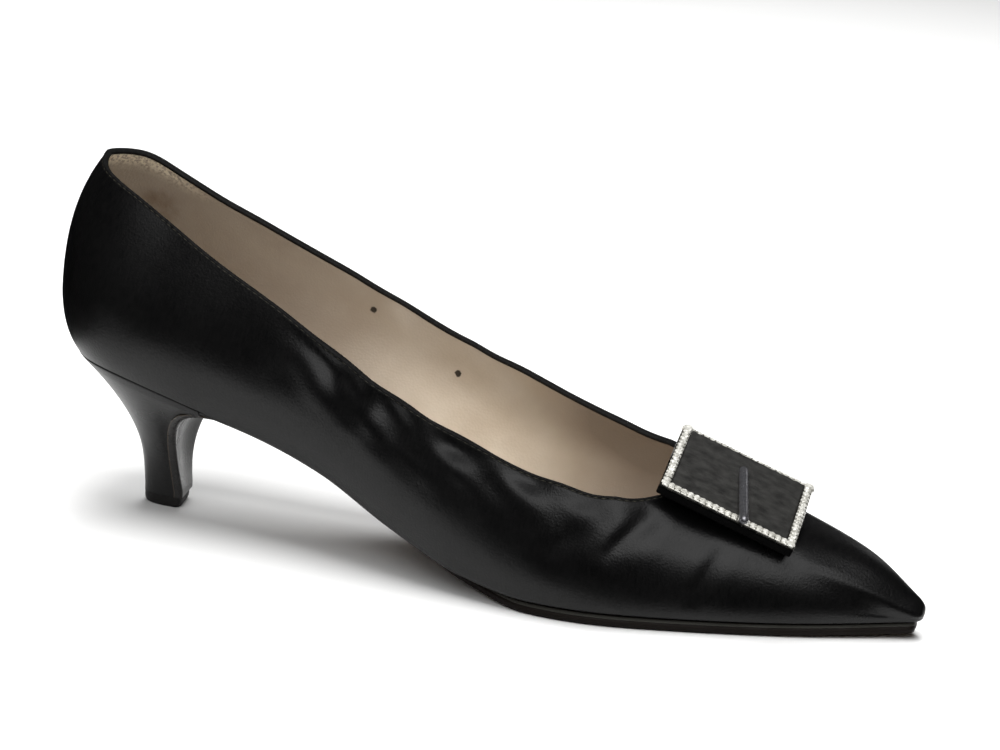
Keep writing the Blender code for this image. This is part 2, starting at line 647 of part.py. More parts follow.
def build_buckle_frame(seat, collection, cutters):
    """Frame of four bars with a row of stones standing out of them."""
    outer = box_mesh("buckle_frame", BUCKLE_LENGTH + BAR_WIDTH, BUCKLE_WIDTH + BAR_WIDTH, BAR_BOTTOM, BAR_TOP)
    frame = place_object("buckle_frame", outer, SILVER, collection, seat)
    window = box_mesh("buckle_window", BUCKLE_LENGTH - BAR_WIDTH, BUCKLE_WIDTH - BAR_WIDTH,
                      BAR_BOTTOM - 1, BAR_TOP + 1)
    for name, mesh, way in (("buckle_window", window, "DIFFERENCE"), ("stones", stones_mesh(), "UNION")):
        tool = bpy.data.objects.new(name, mesh)
        cutters.objects.link(tool)
        tool.parent = seat
        tool.hide_render = True
        tool.display_type = "WIRE"
        step = frame.modifiers.new(name, "BOOLEAN")
        step.operation = way
        step.object = tool
    return frame


def build_prong(seat, collection):
    """Straight prong from the middle of the pad over the near bar."""
    over_bar = STONE_HEIGHT / 2 + GAP + PRONG_RADIUS
    over_pad = PAD_TOP + PAD_CROWN + GAP + PRONG_RADIUS
    curve = bpy.data.curves.new("buckle_prong", "CURVE")
    curve.dimensions = "3D"
    curve.bevel_depth = PRONG_RADIUS * MM
    curve.bevel_resolution = 2
    curve.use_fill_caps = True
    spline = curve.splines.new("POLY")
    spline.points.add(1)
    spline.points[0].co = (*(Vector((*PRONG_TAIL, over_pad)) * MM), 1)
    spline.points[1].co = (*(Vector((*PRONG_POINT, over_bar)) * MM), 1)
    return place_object("buckle_prong", curve, BLACK_METAL, collection, seat)


def centre_over_origin(shoe, collection):
    """Move the shoe so that the middle of its box is over the origin; its floor stays at z = 0."""
    bpy.context.view_layer.update()
    scene = bpy.context.evaluated_depsgraph_get()
    spots = []
    for piece in collection.objects:
        if piece.type != "EMPTY":
            shape = piece.evaluated_get(scene)
            mesh = shape.to_mesh()
            spots += [piece.matrix_world @ vertex.co for vertex in mesh.vertices]
            shape.to_mesh_clear()
    spots = np.array(spots)
    middle = (spots.min(axis=0) + spots.max(axis=0)) / 2
    shoe.location = (-middle[0], -middle[1], 0)


def main():
    """Build every piece, then centre the shoe over the origin."""
    clear_scene()
    pieces = new_collection("kitten_heel_shoe")
    cutters = new_collection("cutters")
    shoe = bpy.data.objects.new("shoe", None)
    pieces.objects.link(shoe)
    upper = build_upper(pieces, shoe)
    binding = build_binding(pieces, shoe)
    build_insole(pieces, shoe)
    build_outsole(pieces, shoe)
    build_heel(pieces, shoe)
    build_breast_cover(pieces, shoe)
    build_top_piece(pieces, shoe)
    seat = build_buckle_seat(pieces, shoe)
    build_buckle_pad(seat, upper, binding, pieces)
    build_buckle_frame(seat, pieces, cutters)
    build_prong(seat, pieces)
    centre_over_origin(shoe, pieces)


main()
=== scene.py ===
"""Looks of a black satin kitten heel court shoe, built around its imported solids.

Every surface is worked out on one shared last, in millimetres from the last's rearmost point, with +X to the
toe, -Y to the outer side of the foot and +Z up. The finished points are then moved to the frame of the solids
and turned into metres.
"""

from __future__ import annotations

import logging
import math
from dataclasses import dataclass
from dataclasses import field
from enum import Enum
from typing import NamedTuple
from typing import Protocol

import bpy
import numpy as np
from mathutils import Euler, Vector
from mathutils import Matrix


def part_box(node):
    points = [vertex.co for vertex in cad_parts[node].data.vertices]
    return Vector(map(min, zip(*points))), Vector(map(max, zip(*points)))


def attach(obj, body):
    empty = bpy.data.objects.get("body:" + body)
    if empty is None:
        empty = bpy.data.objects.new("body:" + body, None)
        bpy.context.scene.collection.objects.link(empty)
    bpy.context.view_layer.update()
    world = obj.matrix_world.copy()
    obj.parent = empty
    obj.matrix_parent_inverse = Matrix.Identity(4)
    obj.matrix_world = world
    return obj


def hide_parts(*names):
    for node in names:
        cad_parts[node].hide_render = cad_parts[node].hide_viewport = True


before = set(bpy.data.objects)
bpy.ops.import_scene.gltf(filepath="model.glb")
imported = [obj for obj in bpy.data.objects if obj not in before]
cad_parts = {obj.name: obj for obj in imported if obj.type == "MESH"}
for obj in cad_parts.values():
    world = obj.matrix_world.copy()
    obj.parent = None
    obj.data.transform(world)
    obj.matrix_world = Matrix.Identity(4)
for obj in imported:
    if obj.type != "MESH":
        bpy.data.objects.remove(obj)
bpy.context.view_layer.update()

Array = np.ndarray
Triple = tuple[float, float, float]
Colour = Triple
Pairs = tuple[tuple[float, float], ...]
Socket = bpy.types.NodeSocket
LOG = logging.getLogger("kitten_heel_shoe")
MM = 0.001
BODY = "root"
UPRIGHT = np.array([0.0, 0.0, 1.0])


class Side(Enum):
    """The two sides of the foot."""

    INNER = 1
    OUTER = -1


class Coords(Enum):
    """Where a pattern takes its coordinates from."""

    OBJECT = "Object"
    UV = "UV"


class Slot(Enum):
    """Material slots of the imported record."""

    SATIN = "black_satin"
    RIBBON = "black_ribbon"
    KID = "cream_kid"
    SOLE = "sole_leather"
    LEATHER = "black_leather"
    SILVER = "silver_paste"
    METAL = "black_metal"


class LastRow(NamedTuple):
    """One row of the last.

    foot_x, out_y, in_y and foot_z give the feather edge on both sides, rail_x, rail_y, rail_half and rail_z
    the instep ridge, split into two rails over the opening. turn is the way the section faces, flare and
    lean the wall's angles from upright at the feather and at the rail, low and high how far it keeps them.
    out_top and in_top are the topline's heights, round and margin the radius and width of the turned-in
    edge, and sole is how far the outsole's edge lies inside the feather edge.
    """

    place: str
    foot_x: float
    out_y: float
    in_y: float
    foot_z: float
    rail_x: float
    rail_y: float
    rail_half: float
    rail_z: float
    turn: float
    flare: float
    lean: float
    low: float
    high: float
    out_top: float
    in_top: float
    round: float
    margin: float
    sole: float


LAST = [LastRow(*row) for row in (
    ("back", 11, 0, 0, 42.5, 28, 0, 0, 110, 0, 50, 62, .22, .44, 96.5, 96.5, 1.6, 3, 5),
    ("back turn", 14, 10.6, 10.6, 42.2, 30.5, 0, 2.2, 110, 38, 46, 55, .25, .43, 94.3, 94.9, 1.6, 3, 5),
    ("quarter", 21.5, 18, 17.6, 41.2, 35.5, 0, 3.6, 109.5, 68, 38, 41, .29, .4, 90.2, 90.6, 1.6, 3.5, 5),
    ("heel side", 34, 21.7, 21, 39, 45, 0, 4.8, 108.5, 84, 30, 28, .32, .38, 83.9, 85, 1.8, 4.5, 5),
    ("breast", 50, 21.8, 20.4, 35.5, 58, 0, 8.5, 105, 90, 30, 21, .33, .38, 76.8, 78.6, 2.4, 6, 6),
    ("seat front", 69, 21, 18.5, 30.8, 76, 0, 12, 97, 90, 32, 18, .33, .38, 68.4, 70.9, 3.6, 6, 6.5),
    ("waist", 90, 22, 17.5, 23.8, 96, 0, 16.5, 85, 90, 32, 20, .33, .38, 58.1, 61.6, 4, 6, 6.5),
    ("shank", 112, 25.8, 20.5, 13.6, 116, 0, 18.5, 72, 90, 27, 28, .33, .38, 48.6, 52.4, 4, 6, 7),
    ("ball back", 134, 30.3, 27.5, 6, 136, .5, 19, 60, 90, 18, 36, .35, .38, 41, 44.9, 3.4, 6, 4.5),
    ("ball", 154, 33, 33, 3.5, 156, 1.2, 16, 50.5, 90, 12, 54, .4, .4, 35.3, 37.5, 2.6, 6, .6),
    ("throat side", 171, 31.8, 34.2, 3.5, 175, 2.8, 11, 42.8, 90, 10, 74, .45, .48, 32.7, 32.4, 2.4, 6, .3),
    ("throat", 187, 27.2, 31.2, 3.5, 190, 4, 0, 34.7, 90, 10, 90, .48, .52, 36, 36, 2.2, 6, .3),
    ("vamp", 204, 21, 25.2, 3.6, 205, 4.3, 0, 30.5, 90, 10, 90, .48, .5, 31, 31, 2, 6, .3),
    ("vamp front", 221, 14, 19, 3.9, 221.5, 4.4, 0, 26.2, 90, 10, 90, .46, .48, 27, 27, 1.8, 6, .3),
    ("toe", 236, 6.6, 13, 4.3, 236.5, 4.2, 0, 20.6, 94, 10, 90, .44, .44, 21, 21, 1.6, 5, .3),
    ("toe turn", 246, 1.4, 9.3, 4.7, 245.5, 4, 0, 14.8, 112, 9, 90, .42, .42, 15, 15, 1.4, 3, .3),
    ("toe corner", 251.2, -1.2, 6.9, 5, 250.6, 4, 0, 11.2, 150, 8, 90, .4, .4, 11, 11, 1.2, 2, .3),
    ("tip", 252.4, -4, 4, 5.1, 252.2, 4, 0, 9.6, 180, 8, 90, .4, .4, 9, 9, 1.2, 2, .3),
)]
TIP = len(LAST) - 1
PLACE = {row.place: index for index, row in enumerate(LAST)}
THROAT = PLACE["throat"]
THROAT_SIDE = PLACE["throat side"]
THROAT_SQUARE = 2.3
RIDGE_STEP = 0.4
TOPLINE_TRIALS = 61

# Thicknesses, clearances and the form of the topline, in millimetres. BACK_RISE_ROW is a row of the last and
# RIM_WAVE_OUTSIDE a share.
GAP = 0.3
WALL = 1.5
SATIN_CLOTH = 0.7
RIM_RISE = 0.8
BACK_RISE = 1.1
BACK_RISE_ROW = 0.9
RIM_WAVE = 0.15
RIM_WAVE_LENGTH = 3.4
RIM_WAVE_OUTSIDE = 0.4


def unit(vectors: Array) -> Array:
    """Vectors brought to length 1."""
    return vectors / np.maximum(np.linalg.norm(vectors, axis=-1, keepdims=True), 1e-12)


def soft_step(low: float, high: float, values: Array) -> Array:
    """Smooth rise from 0 at low to 1 at high: 3t^2 - 2t^3 of the clipped share t."""
    t = np.clip((values - low) / (high - low), 0, 1)
    return t * t * (3 - 2 * t)


def between(first: Array, second: Array, share: Array) -> Array:
    """Points on the straight lines from first to second, by a share of the way."""
    return (1 - share) * first + share * second


def bezier(start: Array, low: Array, high: Array, end: Array, share: Array) -> Array:
    """Cubic Bezier curves: the four points weighted by the terms of (share + rest) cubed.

    Args:
        start: first point of each curve.
        low: handle after the first point.
        high: handle before the last point.
        end: last point of each curve.
        share: shares of the way, one row per curve or one row for all.

    Returns:
        Points of shape (curves, shares, 3).
    """
    t = np.atleast_2d(np.asarray(share, dtype=float))[:, :, None]
    start, low, high, end = (points[:, None] for points in (start, low, high, end))
    return (1 - t) ** 3 * start + 3 * t * (1 - t) ** 2 * low + 3 * t ** 2 * (1 - t) * high + t ** 3 * end


def way_along(points: Array) -> Array:
    """Way along a line of points, from 0 at the first: the running sum of its steps."""
    return np.concatenate([[0], np.cumsum(np.linalg.norm(np.diff(points, axis=0), axis=1))])


def read_along(at: Array, way: Array, values: Array) -> Array:
    """Values at given ways along a line, straight between its own points."""
    return np.column_stack([np.interp(at, way, column) for column in values.T])


def with_height(flat: Array, height: Array) -> Array:
    """Grid of x and y with a height added to each point."""
    return np.concatenate([flat, np.broadcast_to(height, flat.shape[:2])[:, :, None]], axis=2)


def closed_spline(values: Array, at: Array) -> Array:
    """Natural cubic spline through values spaced evenly round a closed loop.

    Args:
        values: one row per knot of the loop.
        at: places on the loop, counted in knots.

    Returns:
        One row per place: the two nearest knots mixed, plus a cubic part from the solved second differences.
    """
    values = np.asarray(values, dtype=float)
    count = len(values)
    system = 4 * np.eye(count) + np.roll(np.eye(count), 1, axis=1) + np.roll(np.eye(count), -1, axis=1)
    bend = np.linalg.solve(system, 6 * (np.roll(values, -1, 0) - 2 * values + np.roll(values, 1, 0)))
    start = np.floor(at).astype(int)
    ahead = (at - start)[:, None]
    behind = 1 - ahead
    start = start % count
    end = (start + 1) % count
    return (behind * values[start] + ahead * values[end]
            + ((behind ** 3 - behind) * bend[start] + (ahead ** 3 - ahead) * bend[end]) / 6)


def steady_curve(knots: Array, values: Array, at: Array) -> Array:
    """Monotone cubic curve through values: Hermite pieces whose slopes are harmonic means of their chords.

    Args:
        knots: increasing places.
        values: value at each knot.
        at: places to read the curve at.

    Returns:
        The curve's value at each place, never past its knots.
    """
    knots = np.asarray(knots, dtype=float)
    values = np.asarray(values, dtype=float)
    span = np.diff(knots)
    rise = np.diff(values) / span
    slope = np.zeros(len(values))
    same_way = rise[:-1] * rise[1:] > 0
    total = np.where(same_way, rise[:-1] + rise[1:], 1)
    slope[1:-1] = np.where(same_way, 2 * rise[:-1] * rise[1:] / total, 0)
    cell = np.clip(np.searchsorted(knots, at, side="right") - 1, 0, len(span) - 1)
    t = (at - knots[cell]) / span[cell]
    return ((1 + 2 * t) * (1 - t) ** 2 * values[cell] + t * (1 - t) ** 2 * span[cell] * slope[cell]
            + t ** 2 * (3 - 2 * t) * values[cell + 1] + t ** 2 * (t - 1) * span[cell] * slope[cell + 1])


def last_column(name: str, rows: Array) -> Array:
    """Column of the last's table at fractional rows."""
    return steady_curve(np.arange(TIP + 1), [getattr(row, name) for row in LAST], rows)


def place_of(row: Array, side: Side) -> Array:
    """Place round the last's loop of a row on one side, mirrored at the tip for the outer one."""
    return row if side is Side.INNER else 2 * TIP - row


class LastLine:
    """Feather edge, rails and facing of the last at places round its loop.

    A place runs from 0 at the back of the heel along the inner side to TIP, and on along the outer side to
    2 * TIP at the back again.
    """

    def __init__(self, place: Array) -> None:
        """Read the feather edge, the rails and the facing at each place.

        Args:
            place: places round the last's loop.
        """
        place = np.atleast_1d(np.asarray(place, dtype=float))
        self.side = np.where(place <= TIP, 1.0, -1.0)
        self.row = np.where(place <= TIP, place, 2 * TIP - place)
        feather = [(row.foot_x, row.in_y) for row in LAST]
        feather += [(row.foot_x, -row.out_y) for row in LAST[-2:0:-1]]
        self.foot = np.column_stack([closed_spline(feather, place), last_column("foot_z", self.row)])
        ridge = [(row.rail_x, row.rail_y, row.rail_z) for row in LAST + LAST[-2:0:-1]]
        self.rail = closed_spline(ridge, place)
        self.ridge_way = unit(self.rail - closed_spline(ridge, place - RIDGE_STEP * self.side))
        self.rail[:, 1] += self.side * last_column("rail_half", self.row)
        turn = np.radians(last_column("turn", self.row))
        self.facing = np.column_stack([np.cos(turn), -self.side * np.sin(turn), np.zeros(len(turn))])

    def column(self, name: str) -> Array:
        """Column of the last's table at these places, ready to scale vectors."""
        return last_column(name, self.row)[:, None]

    def rise(self) -> Array:
        """Way that the wall leaves the feather edge: upright, turned outwards by the flare."""
        flare = np.radians(self.column("flare"))
        return UPRIGHT * np.cos(flare) - self.facing * np.sin(flare)

    def wall(self, share: Array) -> Array:
        """Cubic Bezier wall from the top of the feather's rounding (share 0) to the rail (share 1).

        Args:
            share: one row of shares per place.

        Returns:
            Points, one row per place.
        """
        lean = np.radians(self.column("lean"))
        start = self.foot + self.column("round") * self.rise()
        forward = np.where(self.row[:, None] > THROAT, self.ridge_way, [1.0, 0, 0])
        inward = unit(self.facing[:, :1] * forward + self.facing * [0, 1, 0])
        arrive = UPRIGHT * np.cos(lean) + inward * np.sin(lean)
        height = np.linalg.norm(self.rail - start, axis=1)[:, None]
        low = start + self.column("low") * height * self.rise()
        high = self.rail - self.column("high") * height * arrive
        return bezier(start, low, high, self.rail, share)

    def share_at(self, level: Array) -> Array:
        """Share of the wall at a height, read from evenly spread trial shares.

        Args:
            level: one height per place.

        Returns:
            One share per place.
        """
        trial = np.linspace(0, 1, TOPLINE_TRIALS)
        heights = self.wall(np.tile(trial, (len(self.row), 1)))[:, :, 2]
        return np.array([np.interp(z, climb, trial) for z, climb in zip(level, heights)])

    def topline(self) -> Array:
        """Share of the wall at the topline: its height on the sides, a superellipse arch round the throat.

        The sides wave a little along the waist, and the back rises in a bell.

        Returns:
            One share per place.
        """
        inside = self.side > 0
        level = np.where(inside, last_column("in_top", self.row), last_column("out_top", self.row)) + RIM_RISE
        waving = soft_step(5, 6.5, self.row) * soft_step(10, 9, self.row)
        waving = waving * np.where(inside, 1, RIM_WAVE_OUTSIDE)
        level = level + RIM_WAVE * waving * np.sin(self.foot[:, 0] / RIM_WAVE_LENGTH)
        level = level + BACK_RISE * np.exp(-(self.side * self.row - BACK_RISE_ROW) ** 2)
        corner = np.where(inside, *LastLine.corner_share())
        past = np.clip(self.row - THROAT_SIDE, 0, 1)
        closing = 1 - (1 - corner) * (1 - past ** THROAT_SQUARE) ** (1 / THROAT_SQUARE)
        return np.where(self.row <= THROAT_SIDE, self.share_at(level), closing)

    @staticmethod
    def corner_share() -> Array:
        """Wall shares of the topline on the inner and outer side, where the throat starts to round.

        Returns:
            Both shares, the inner one first.
        """
        corner = LAST[THROAT_SIDE]
        ends = LastLine([THROAT_SIDE, 2 * TIP - THROAT_SIDE])
        return ends.share_at([corner.in_top + RIM_RISE, corner.out_top + RIM_RISE])


@dataclass
class Skin:
    """Quad surface on the last's axes, in millimetres.

    uv holds one pair per quad corner, in metres along the surface, and marks one number per point.
    """

    points: Array
    quads: Array
    uv: Array
    marks: dict[str, Array] = field(default_factory=dict)

    def normals(self) -> Array:
        """Unit normal of each point: the sum of the crossed diagonals of its quads.

        Returns:
            One normal per point.
        """
        corners = self.points[self.quads]
        faces = np.cross(corners[:, 2] - corners[:, 0], corners[:, 3] - corners[:, 1])
        total = np.zeros_like(self.points)
        for corner in range(4):
            np.add.at(total, self.quads[:, corner], faces)
        return unit(total)

    def welded(self) -> Skin:
        """The same surface with coincident points made one.

        Returns:
            The welded surface.
        """
        _, first, group = np.unique(np.round(self.points, 4), axis=0, return_index=True, return_inverse=True)
        marks = {name: values[first] for name, values in self.marks.items()}
        return Skin(self.points[first], group.reshape(-1)[self.quads], self.uv, marks)

    def outward(self) -> Skin:
        """The closed surface with its faces turned outwards: flipped where the signed volume is negative.

        Returns:
            The turned surface.
        """
        a, b, c, d = self.points[self.quads].transpose(1, 0, 2)
        volume = (np.cross(a, b) * c).sum() + (np.cross(a, c) * d).sum()
        way = slice(None, None, 1 if volume > 0 else -1)
        return Skin(self.points, self.quads[:, way], self.uv[:, way], self.marks)

    def offset(self, distance: Array) -> Skin:
        """The surface moved along its normals."""
        moved = self.points + self.normals() * np.reshape(distance, (-1, 1))
        return Skin(moved, self.quads, self.uv, self.marks)

    def shell(self, outer: float, inner: float) -> Skin:
        """Closed wall between two offsets of the surface, with a strip of quads along each open edge.

        Args:
            outer: distance of the outer face along the normals.
            inner: distance of the inner face along the normals.

        Returns:
            Outer face, reversed inner face and rim strips as one surface.
        """
        normals = self.normals()
        count = len(self.points)
        starts = self.quads.reshape(-1)
        ends = np.roll(self.quads, -1, axis=1).reshape(-1)
        uv_start = self.uv.reshape(-1, 2)
        uv_end = np.roll(self.uv, -1, axis=1).reshape(-1, 2)
        rim = ~np.isin(starts * count + ends, ends * count + starts) & (starts != ends)
        strip = np.stack([ends[rim], starts[rim], starts[rim] + count, ends[rim] + count], axis=1)
        strip_uv = np.stack([uv_end[rim], uv_start[rim], uv_start[rim], uv_end[rim]], axis=1)
        return Skin(
            np.concatenate([self.points + outer * normals, self.points + inner * normals]),
            np.concatenate([self.quads, self.quads[:, ::-1] + count, strip]),
            np.concatenate([self.uv, self.uv[:, ::-1], strip_uv]),
            {name: np.concatenate([values, values]) for name, values in self.marks.items()})


def grid_skin(points: Array, closed: bool = False, tube: bool = False, **marks: Array) -> Skin:
    """Surface on a grid of columns and rows.

    Args:
        points: grid of shape (columns, rows, 3); rows x columns turn outwards.
        closed: whether the last column joins the first.
        tube: whether the last row joins the first.
        marks: values per grid point, of shape (columns, rows).

    Returns:
        The surface, with u along the columns and v along the rows, in metres of surface.
    """
    columns, rows = points.shape[:2]
    wide = np.concatenate([points, points[:1]]) if closed else points
    tall = np.concatenate([wide, wide[:, :1]], axis=1) if tube else wide
    step_u = np.linalg.norm(np.diff(tall, axis=0), axis=2).mean(axis=1)
    step_v = np.linalg.norm(np.diff(tall, axis=1), axis=2)
    u = np.concatenate([[0], np.cumsum(step_u)]) * MM
    v = np.concatenate([np.zeros((len(tall), 1)), np.cumsum(step_v, axis=1)], axis=1) * MM
    uv = np.stack([np.broadcast_to(u[:, None], v.shape), v], axis=2)
    i, j = np.meshgrid(np.arange(len(tall) - 1), np.arange(tall.shape[1] - 1), indexing="ij")
    corners = ((i, j), (i, j + 1), (i + 1, j + 1), (i + 1, j))
    quads = np.stack([(a % columns) * rows + b % rows for a, b in corners], axis=2).reshape(-1, 4)
    corner_uv = np.stack([uv[a, b] for a, b in corners], axis=2).reshape(-1, 4, 2)
    spread = {name: np.broadcast_to(values, (columns, rows)).reshape(-1) for name, values in marks.items()}
    return Skin(points.reshape(-1, 3), quads, corner_uv, spread)


def with_poles(points: Array) -> Array:
    """Tube grid with a column drawn together at its middle added at each end, so that both ends close."""
    ends = [np.broadcast_to(end.mean(axis=0), end.shape)[None] for end in (points[0], points[-1])]
    return np.concatenate([ends[0], points, ends[1]])


def joined(skins: list[Skin]) -> Skin:
    """Several surfaces as one, side by side.

    Args:
        skins: surfaces with the same marks.

    Returns:
        One surface.
    """
    starts = np.cumsum([0] + [len(skin.points) for skin in skins[:-1]])
    return Skin(np.concatenate([skin.points for skin in skins]),
                np.concatenate([skin.quads + start for skin, start in zip(skins, starts)]),
                np.concatenate([skin.uv for skin in skins]),
                {name: np.concatenate([skin.marks[name] for skin in skins]) for name in skins[0].marks})


def repeated(pattern: Skin, spots: Array, frames: Array) -> Skin:
    """One small surface set at many spots: each point is the spot plus the frame applied to the pattern.

    Args:
        pattern: surface round its own origin.
        spots: middles, of shape (count, 3).
        frames: axes as columns, of shape (count, 3, 3).

    Returns:
        All copies as one surface.
    """
    count = len(spots)
    points = np.einsum("nij,pj->npi", frames, pattern.points) + spots[:, None]
    starts = (np.arange(count) * len(pattern.points))[:, None, None]
    return Skin(points.reshape(-1, 3), (pattern.quads[None] + starts).reshape(-1, 4),
                np.tile(pattern.uv, (count, 1, 1)))


def loop_chords(points: Array) -> Array:
    """Chord from the point before to the point after, round a closed loop."""
    return np.roll(points, -1, axis=0) - np.roll(points, 1, axis=0)


class Shader:
    """One Principled material and the few node patterns that its finish needs."""

    def __init__(self, name: str, constants: dict[str, float | tuple[float, ...]]) -> None:
        """Make the material.

        Args:
            name: name of the material.
            constants: values of the shader's sockets that are the same all over.
        """
        self.material = bpy.data.materials.new(name)
        self.material.use_nodes = True
        self.tree = self.material.node_tree
        self.principled = self.tree.nodes["Principled BSDF"]
        self.normal: Socket | None = None
        for socket, value in constants.items():
            self.principled.inputs[socket].default_value = value

    def node(self, kind: str, inputs: dict[str | int, object], **settings: object) -> bpy.types.Node:
        """Add a node.

        Args:
            kind: type of the node.
            inputs: for each of its inputs, a socket to link or a value to set.
            settings: properties of the node.

        Returns:
            The node.
        """
        made = self.tree.nodes.new(kind)
        for name, value in settings.items():
            setattr(made, name, value)
        for socket, value in inputs.items():
            if isinstance(value, Socket):
                self.tree.links.new(value, made.inputs[socket])
            else:
                made.inputs[socket].default_value = value
        return made

    def coords(self, source: Coords = Coords.OBJECT, scale: Triple = (1, 1, 1)) -> Socket:
        """Coordinates of the surface, stretched by a scale per axis."""
        origin = self.node("ShaderNodeTexCoord", {}).outputs[source.value]
        return self.node("ShaderNodeMapping", {"Vector": origin, "Scale": scale}).outputs["Vector"]

    def noise(self, vector: Socket, scale: float, detail: float = 3.0) -> Socket:
        """Cloudy noise from 0 to 1."""
        inputs = {"Vector": vector, "Scale": scale, "Detail": detail}
        return self.node("ShaderNodeTexNoise", inputs).outputs["Fac"]

    def cells(self, vector: Socket, scale: float) -> Socket:
        """Distance to the nearest of scattered points, as in pebbled grain."""
        return self.node("ShaderNodeTexVoronoi", {"Vector": vector, "Scale": scale}).outputs["Distance"]

    def mark(self, name: str) -> Socket:
        """Value that the mesh carries per point."""
        return self.node("ShaderNodeAttribute", {}, attribute_name=name).outputs["Fac"]

    def spread(self, value: Socket, low: float = .3, high: float = .7, to_low: float = 0.0,
               to_high: float = 1.0) -> Socket:
        """Value brought from one range to another, clipped at both ends."""
        inputs = {"Value": value, "From Min": low, "From Max": high, "To Min": to_low, "To Max": to_high}
        return self.node("ShaderNodeMapRange", inputs).outputs["Result"]

    def product(self, first: Socket, second: Socket) -> Socket:
        """Two values multiplied."""
        return self.node("ShaderNodeMath", {0: first, 1: second}, operation="MULTIPLY").outputs["Value"]

    def larger(self, first: Socket, second: Socket) -> Socket:
        """The larger of two values."""
        return self.node("ShaderNodeMath", {0: first, 1: second}, operation="MAXIMUM").outputs["Value"]

    def mixed(self, share: Socket, first: Socket | Colour, second: Socket | Colour) -> Socket:
        """Colour between two others, each a socket or a plain colour, by a share."""
        first, second = (value if isinstance(value, Socket) else (*value, 1.0) for value in (first, second))
        return self.node("ShaderNodeMix", {0: share, 6: first, 7: second}, data_type="RGBA").outputs[2]

    def near(self, spot: Triple, radius: float) -> Socket:
        """Patch round a spot: 1 at the spot, falling to 0 at a ragged radius.

        Args:
            spot: place in metres.
            radius: radius in metres.

        Returns:
            The patch's value.
        """
        place = self.coords()
        vectors = {0: place, 1: spot}
        distance = self.node("ShaderNodeVectorMath", vectors, operation="DISTANCE").outputs["Value"]
        ragged = self.spread(self.noise(place, 900.0), to_low=.75, to_high=1.25)
        return self.spread(self.product(distance, ragged), radius * .7, radius, 1.0, 0.0)

    def colour(self, socket: Socket) -> None:
        """Lead a colour to the shader."""
        self.tree.links.new(socket, self.principled.inputs["Base Color"])

    def roughness(self, socket: Socket) -> None:
        """Lead a roughness to the shader."""
        self.tree.links.new(socket, self.principled.inputs["Roughness"])

    def relief(self, height: Socket, depth: float) -> None:
        """Add fine relief on top of what is there.

        Args:
            height: the relief's pattern, from 0 to 1.
            depth: its depth in metres.
        """
        bump = self.node("ShaderNodeBump", {"Height": height, "Distance": depth, "Strength": 1.0})
        if self.normal is not None:
            self.tree.links.new(self.normal, bump.inputs["Normal"])
        self.normal = bump.outputs["Normal"]
        self.tree.links.new(self.normal, self.principled.inputs["Normal"])


@dataclass(frozen=True)
class SatinFinish:
    """Silk satin: near-black, with fine floats up the wall and a soft sheen."""

    name: str
    dark: Colour = (.0013, .0013, .0015)
    light: Colour = (.0036, .0035, .0035)
    smooth: float = .27
    dull: float = .39
    gloss: float = .27
    threads: Triple = (1700.0, 300.0, 1.0)
    thread_depth: float = .00002
    clouds: float = 45.0
    grain: float = 1700.0
    grain_depth: float = .00007

    def material(self) -> bpy.types.Material:
        """Streaks along the threads and fine grain over slow clouding; a seam marked on the mesh is dull.

        Returns:
            The material.
        """
        shader = Shader(self.name, {"Specular IOR Level": self.gloss})
        floats = shader.noise(shader.coords(Coords.UV, self.threads), 1.0, 4.0)
        place = shader.coords()
        clouds = shader.spread(shader.noise(place, self.clouds), to_low=self.smooth, to_high=self.dull)
        shader.colour(shader.mixed(shader.spread(floats), self.dark, self.light))
        shader.roughness(shader.larger(clouds, shader.mark("seam")))
        shader.relief(floats, self.thread_depth)
        shader.relief(shader.noise(place, self.grain), self.grain_depth)
        return shader.material


@dataclass(frozen=True)
class RibbonFinish:
    """Ribbed ribbon or thread: matte black with fine ribs along its length."""

    name: str
    dark: Colour = (.0025, .0025, .0025)
    light: Colour = (.007, .0068, .0065)
    ribs: Triple = (1800.0, 400.0, 1.0)
    rib_depth: float = .00004
    dullness: float = .6
    gloss: float = .15

    def material(self) -> bpy.types.Material:
        """Rib noise for colour and relief.

        Returns:
            The material.
        """
        shader = Shader(self.name, {"Roughness": self.dullness, "Specular IOR Level": self.gloss})
        ribs = shader.noise(shader.coords(Coords.UV, self.ribs), 1.0, 2.0)
        shader.colour(shader.mixed(shader.spread(ribs, .35, .65), self.dark, self.light))
        shader.relief(ribs, self.rib_depth)
        return shader.material


